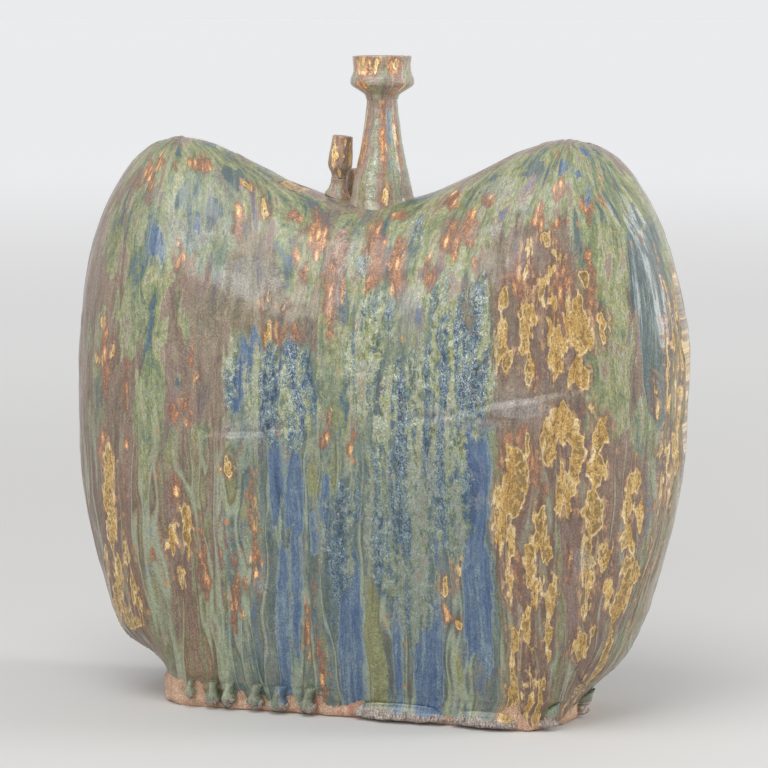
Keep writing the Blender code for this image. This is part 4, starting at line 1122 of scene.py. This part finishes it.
# Turned pieces: closed profiles of radius and height that run up the outer side
turned = {
    "neck": {
        "node": "neck_tube", "place": (0.005, 0.0, 0.3596), "lean": 0, "turns": 124, "points": 340,
        "seated": 0.014, "round": 0.0182, "slot": "neck_glaze", "soft": 1,
        "profile": [(0.0232, -0.0006), (0.0218, 0.0025), (0.0212, 0.006), (0.0196, 0.0135), (0.0178, 0.022),
                    (0.0161, 0.031), (0.0145, 0.04), (0.0131, 0.049), (0.0119, 0.058), (0.0111, 0.065),
                    (0.0109, 0.0703), (0.007, 0.0703), (0.0071, 0.064), (0.011, 0.031), (0.015, -0.0006)],
        "glazes": {
            "celadon": [(-2, -66, 2, 6), (16, -58, 2, 9), (27, -70, 2, 8), (-22, -60, 0, 7), (44, -66, 2, 12),
                        (-38, -66, 2, 10)],
            "olive": [(9, -30, 2, 5), (-9, -20, 2, 4), (34, -50, 2, 6), (-30, -66, -10, 7), (52, -60, 0, 8)],
            "rust": [(-14, -66, -18, 7), (6, -70, 0, 4), (20, -60, -22, 6), (56, -60, -8, 5),
                     (-46, -50, 0, 5), (7, -72, -50, 6)],
            "ochre": [(-14, -62, -46, 4), (-15, -36, -26, 3), (6.5, -70, -58, 3.5), (20, -52, -36, 3.5),
                      (7, -12, -1, 4), (38, -60, -40, 3)],
            "cobalt": [(12, -62, -38, 2.4), (13, -30, -22, 1.5)],
            "curd": [(17, -40, -6, 4), (0, -30, 0, 3)]}},
    "cup": {
        "node": "neck_cup", "place": (0.005, 0.0, 0.42964), "lean": 0, "turns": 140, "points": 340,
        "seated": 0, "round": 0.0205, "slot": "neck_glaze", "soft": 1,
        "profile": [(0.0113, -0.0005), (0.0115, 0.0012), (0.0124, 0.003), (0.0162, 0.0054), (0.0201, 0.0078),
                    (0.0223, 0.0098), (0.0226, 0.0116), (0.0222, 0.0141), (0.021, 0.0168), (0.0202, 0.0196),
                    (0.0202, 0.023), (0.0206, 0.0272), (0.0208, 0.029), (0.0204, 0.0296), (0.019, 0.0297),
                    (0.0176, 0.0294), (0.0171, 0.027), (0.0168, 0.019), (0.0176, 0.014), (0.0182, 0.0108),
                    (0.015, 0.0072), (0.009, 0.0052), (0.007, 0.004), (0.007, 0.0003)],
        "glazes": {
            "rust": [(-7, -33, -16, 21), (15, -33, -17, 10), (-28, -33, -16, 14), (44, -33, -16, 14),
                     (-9, -14, -4, 8), (20, -13, -3, 6)],
            "ochre": [(-9, -30, -20, 4), (-3, -29, -21, 3), (15, -29, -22, 4), (2, -28, -19, 3),
                      (40, -28, -20, 5)],
            "celadon": [(7, -31, -2, 5), (26, -31, -4, 9), (-17, -31, -4, 5), (58, -31, -3, 10),
                        (-44, -30, -4, 8)],
            "olive": [(0, -11, 0, 14), (26, -14, 0, 12), (-22, -12, 0, 10), (60, -14, 0, 16)]}},
    "side_stem": {
        "node": "side_spout_stem", "place": (-0.029, 0.004, 0.36131), "lean": 5.5, "turns": 90, "points": 120,
        "seated": 0.008, "round": 0.007, "slot": "spout_glaze", "soft": 1,
        "profile": [(0.0093, -0.0004), (0.0084, 0.002), (0.007, 0.005), (0.006, 0.0085), (0.0057, 0.0123),
                    (0.0037, 0.0123), (0.0037, -0.0004)],
        "glazes": {"celadon": [(4, -12, 0, 4), (-12, -12, 0, 5)], "rust": [(8, -6, 1, 2)],
                   "olive": [(-5, -9, 1, 4), (14, -11, 0, 5)]}},
    "side_cup": {
        "node": "side_spout_cup", "place": (-0.029, 0.004, 0.36131), "lean": 5.5, "turns": 100, "points": 160,
        "seated": 0, "round": 0.008, "slot": "spout_glaze", "soft": 1,
        "profile": [(0.0056, 0.0124), (0.0056, 0.0138), (0.0063, 0.0156), (0.0083, 0.019), (0.0089, 0.0224),
                    (0.0084, 0.029), (0.0077, 0.036), (0.0073, 0.0405), (0.0071, 0.042), (0.0064, 0.042),
                    (0.0054, 0.0414), (0.0055, 0.037), (0.0064, 0.024), (0.0068, 0.022), (0.0048, 0.016),
                    (0.0037, 0.014), (0.0037, 0.0123)],
        "glazes": {
            "rust": [(-2, -42, -20, 6), (9, -42, -20, 4), (16, -40, -18, 5), (-14, -40, -18, 6)],
            "ochre": [(-3, -41, -22, 5), (4.5, -41, -24, 2.5), (9, -41, -22, 3.4), (2.6, -20, -13, 4.5),
                      (-10, -38, -20, 4), (20, -36, -22, 4)],
            "olive": [(4, -30, -18, 2), (14, -20, -13, 6), (-18, -20, -13, 8)]}},
    "rear_stem": {
        "node": "rear_spout_stem", "place": (-0.026, 0.03, 0.3518), "lean": 0, "turns": 80, "points": 110,
        "seated": 0.006, "round": 0.007, "slot": "spout_glaze", "soft": 2,
        "profile": [(0.0088, -0.0004), (0.0076, 0.002), (0.0063, 0.005), (0.0058, 0.009), (0.0037, 0.009),
                    (0.0037, -0.0004)],
        "glazes": {"rust": [(0, -10, 1, 8), (14, -10, 0, 7)], "olive": [(-14, -9, 0, 6)]}},
    "rear_cup": {
        "node": "rear_spout_cup", "place": (-0.026, 0.03, 0.3518), "lean": 0, "turns": 90, "points": 140,
        "seated": 0, "round": 0.008, "slot": "spout_glaze", "soft": 2,
        "profile": [(0.0057, 0.0093), (0.0059, 0.011), (0.0077, 0.0134), (0.0082, 0.016), (0.008, 0.02),
                    (0.0077, 0.025), (0.0072, 0.0269), (0.0064, 0.027), (0.0056, 0.0262), (0.0056, 0.022),
                    (0.0061, 0.016), (0.005, 0.0124), (0.0037, 0.011), (0.0037, 0.0093)],
        "glazes": {"rust": [(-8, -26, -10, 9), (6, -27, -10, 8), (18, -24, -12, 6)],
                   "ochre": [(22, -24, -14, 4)]}},
}

seatX = np.linspace(-0.05, 0.04, 61)
seatY = np.linspace(0, 0.045, 91)


def seatTable():  # height of the body's top under places of the plan
    upper = edge[edge[:, 1] > 0.25]
    upper = upper[np.argsort(upper[:, 0])]
    z = np.interp(seatX, upper[:, 0], upper[:, 1])[:, None] - np.linspace(0, 0.06, 241)
    depth = depthAt(np.repeat(seatX[:, None], 241, 1), z) - body["inset"]
    depth[:, 0] = 0
    depth = np.maximum.accumulate(depth, axis=1)
    return np.array([np.interp(seatY, depth[k], z[k]) for k in range(len(seatX))])


seats = seatTable()


def seatAt(x, y):
    return sample(seats.T, np.abs(y) / seatY[1], (x - seatX[0]) / (seatX[1] - seatX[0]))


def softProfile(points, count, passes):  # even steps round a closed profile, corners eased
    loop = evenLoop(np.array(points), count)
    for _ in range(passes):
        loop = (loop * 2 + np.roll(loop, 1, axis=0) + np.roll(loop, -1, axis=0)) / 4
    return loop


def buildTurned(name, spec):
    profile = softProfile(spec["profile"], spec["points"], spec["soft"])
    angle = np.linspace(-math.pi, math.pi, spec["turns"], endpoint=False)
    angle, radius = np.meshgrid(angle, profile[:, 0], indexing="ij")
    height = np.repeat(profile[None, :, 1], spec["turns"], 0)
    x, y = radius * np.sin(angle), -radius * np.cos(angle)
    lean = math.radians(spec["lean"])
    points = np.stack([x * math.cos(lean) + height * math.sin(lean), y,
                       height * math.cos(lean) - x * math.sin(lean)], axis=-1) + spec["place"]
    facing = gridNormals(points, True, True)
    outside = smooth(-0.4, 0.4, facing[..., 0] * np.sin(angle) - facing[..., 1] * np.cos(angle))
    if spec["seated"]:
        seat = seatAt(points[..., 0], points[..., 1]) - 0.0006
        share = np.clip(1 - height / spec["seated"], 0, 1) ** 1.5
        points[..., 2] += (seat - spec["place"][2]) * share
    s, t = angle * spec["round"], -height
    around = math.tau * spec["round"]
    fields = paintGlazes(s, t, around, spec["glazes"], 0.35)
    places = wrapped(s, t, around) + (0.3, 0.1, 0)
    rings = (noiseC(places * (0.2, 0.2, 1), 0.004) - 0.5) * 0.0004
    uneven = (noiseA(places, 0.016, 1.5) - 0.5) * 0.0008 + (noiseB(places, 0.003, 4) - 0.5) * 0.0004
    points = points + gridNormals(points, True, True) * ((rings + uneven - 0.0003) * outside)[..., None]
    fields.update(turned=np.ones_like(s), flow=places)
    faces = gridFaces(numbered(points.shape), True, True)
    makePiece(name, points, faces, fields, [spec["node"]])


for name, spec in turned.items():
    buildTurned(name, spec)

# Camera, at the photograph's angle, with the focal length and shift in pixels
view = {"width": 768, "focal": 2861.43, "sensor": 36, "shift": 2, "place": (0.58974, -1.91261, 0.5),
        "down": 7.7146, "turn": 17}
cameraData = bpy.data.cameras.new("camera")
cameraData.lens = view["focal"] / view["width"] * view["sensor"]
cameraData.shift_x = view["shift"] / view["width"]
camera = bpy.data.objects.new("camera", cameraData)
camera.location = view["place"]
camera.rotation_euler = (math.radians(90 - view["down"]), 0, math.radians(view["turn"]))
bpy.context.scene.collection.objects.link(camera)
bpy.context.scene.camera = camera

# Pale floor, lighter towards the horizon, so that it looks the same from every side
studio = {
    "reach": 60, "near": (0.69, 0.682, 0.668, 1), "far": (0.86, 0.865, 0.88, 1), "fade": (0.8, 6.5),
    "haze": (0.2, 2.2), "hazeGlow": 0.19, "farGlow": 0.15, "rough": 0.9, "gloss": 0.2,
    "sky": (0.985, 0.99, 1, 1), "skyLight": 0.55, "skySeen": 0.29,
    "lights": {  # size, energy, place and aim
        "overhead": ((1.5, 1.0), 18, (-0.2, -0.9, 2.1), (0, 0, 0.2)),
        "rightBox": ((0.4, 1.2), 14, (1.7, 0.35, 0.85), (0.15, 0, 0.28)),
        "leftBox": ((0.9, 0.7), 10, (-0.75, -2.0, 1.25), (0, 0, 0.25))},
}


def seenRay(tree):  # 1 where the camera, a gloss or clear glass looks straight at the background
    ray = addNode(tree, "ShaderNodeLightPath")
    return ray + ray.output("Is Glossy Ray") + ray.output("Is Transmission Ray")


def buildStage():
    reach = studio["reach"]
    mesh = bpy.data.meshes.new("floor")
    mesh.from_pydata([(-reach, -reach, 0), (reach, -reach, 0), (reach, reach, 0), (-reach, reach, 0)], [],
                     [(0, 1, 2, 3)])
    floor = bpy.data.objects.new("floor", mesh)
    bpy.context.scene.collection.objects.link(floor)
    material = bpy.data.materials.new("floor")
    material.use_nodes = True
    tree = material.node_tree
    place = addNode(tree, "ShaderNodeNewGeometry")
    away = addNode(tree, "ShaderNodeVectorMath", {"operation": "LENGTH"}, {0: place}, 1)
    share = away.step(*studio["fade"])
    colour = addNode(tree, "ShaderNodeMix", {"data_type": "RGBA"},
                     {0: share, 6: studio["near"], 7: studio["far"]}, 2)
    glow = (away.step(*studio["haze"]) * studio["hazeGlow"] + share * studio["farGlow"]) * seenRay(tree)
    fill(tree.nodes["Principled BSDF"], {
        "Base Color": colour, "Emission Color": glow, "Emission Strength": 1.0,
        "Roughness": studio["rough"], "Specular IOR Level": studio["gloss"]})
    mesh.materials.append(material)


def addLight(name, size, energy, place, aim):
    data = bpy.data.lights.new(name, "AREA")
    data.shape = "RECTANGLE"
    data.size, data.size_y = size
    data.energy = energy
    light = bpy.data.objects.new(name, data)
    light.location = place
    light.rotation_euler = (Vector(aim) - Vector(place)).to_track_quat("-Z", "Y").to_euler()
    bpy.context.scene.collection.objects.link(light)


buildStage()
for name, values in studio["lights"].items():
    addLight(name, *values)
world = bpy.data.worlds.new("studio")
world.use_nodes = True
skyLight = seenRay(world.node_tree) * studio["skySeen"] + studio["skyLight"]
fill(world.node_tree.nodes["Background"], {0: studio["sky"], 1: skyLight})
bpy.context.scene.world = world
bpy.context.scene.view_settings.view_transform = "Standard"
print("floor, lights and camera set")
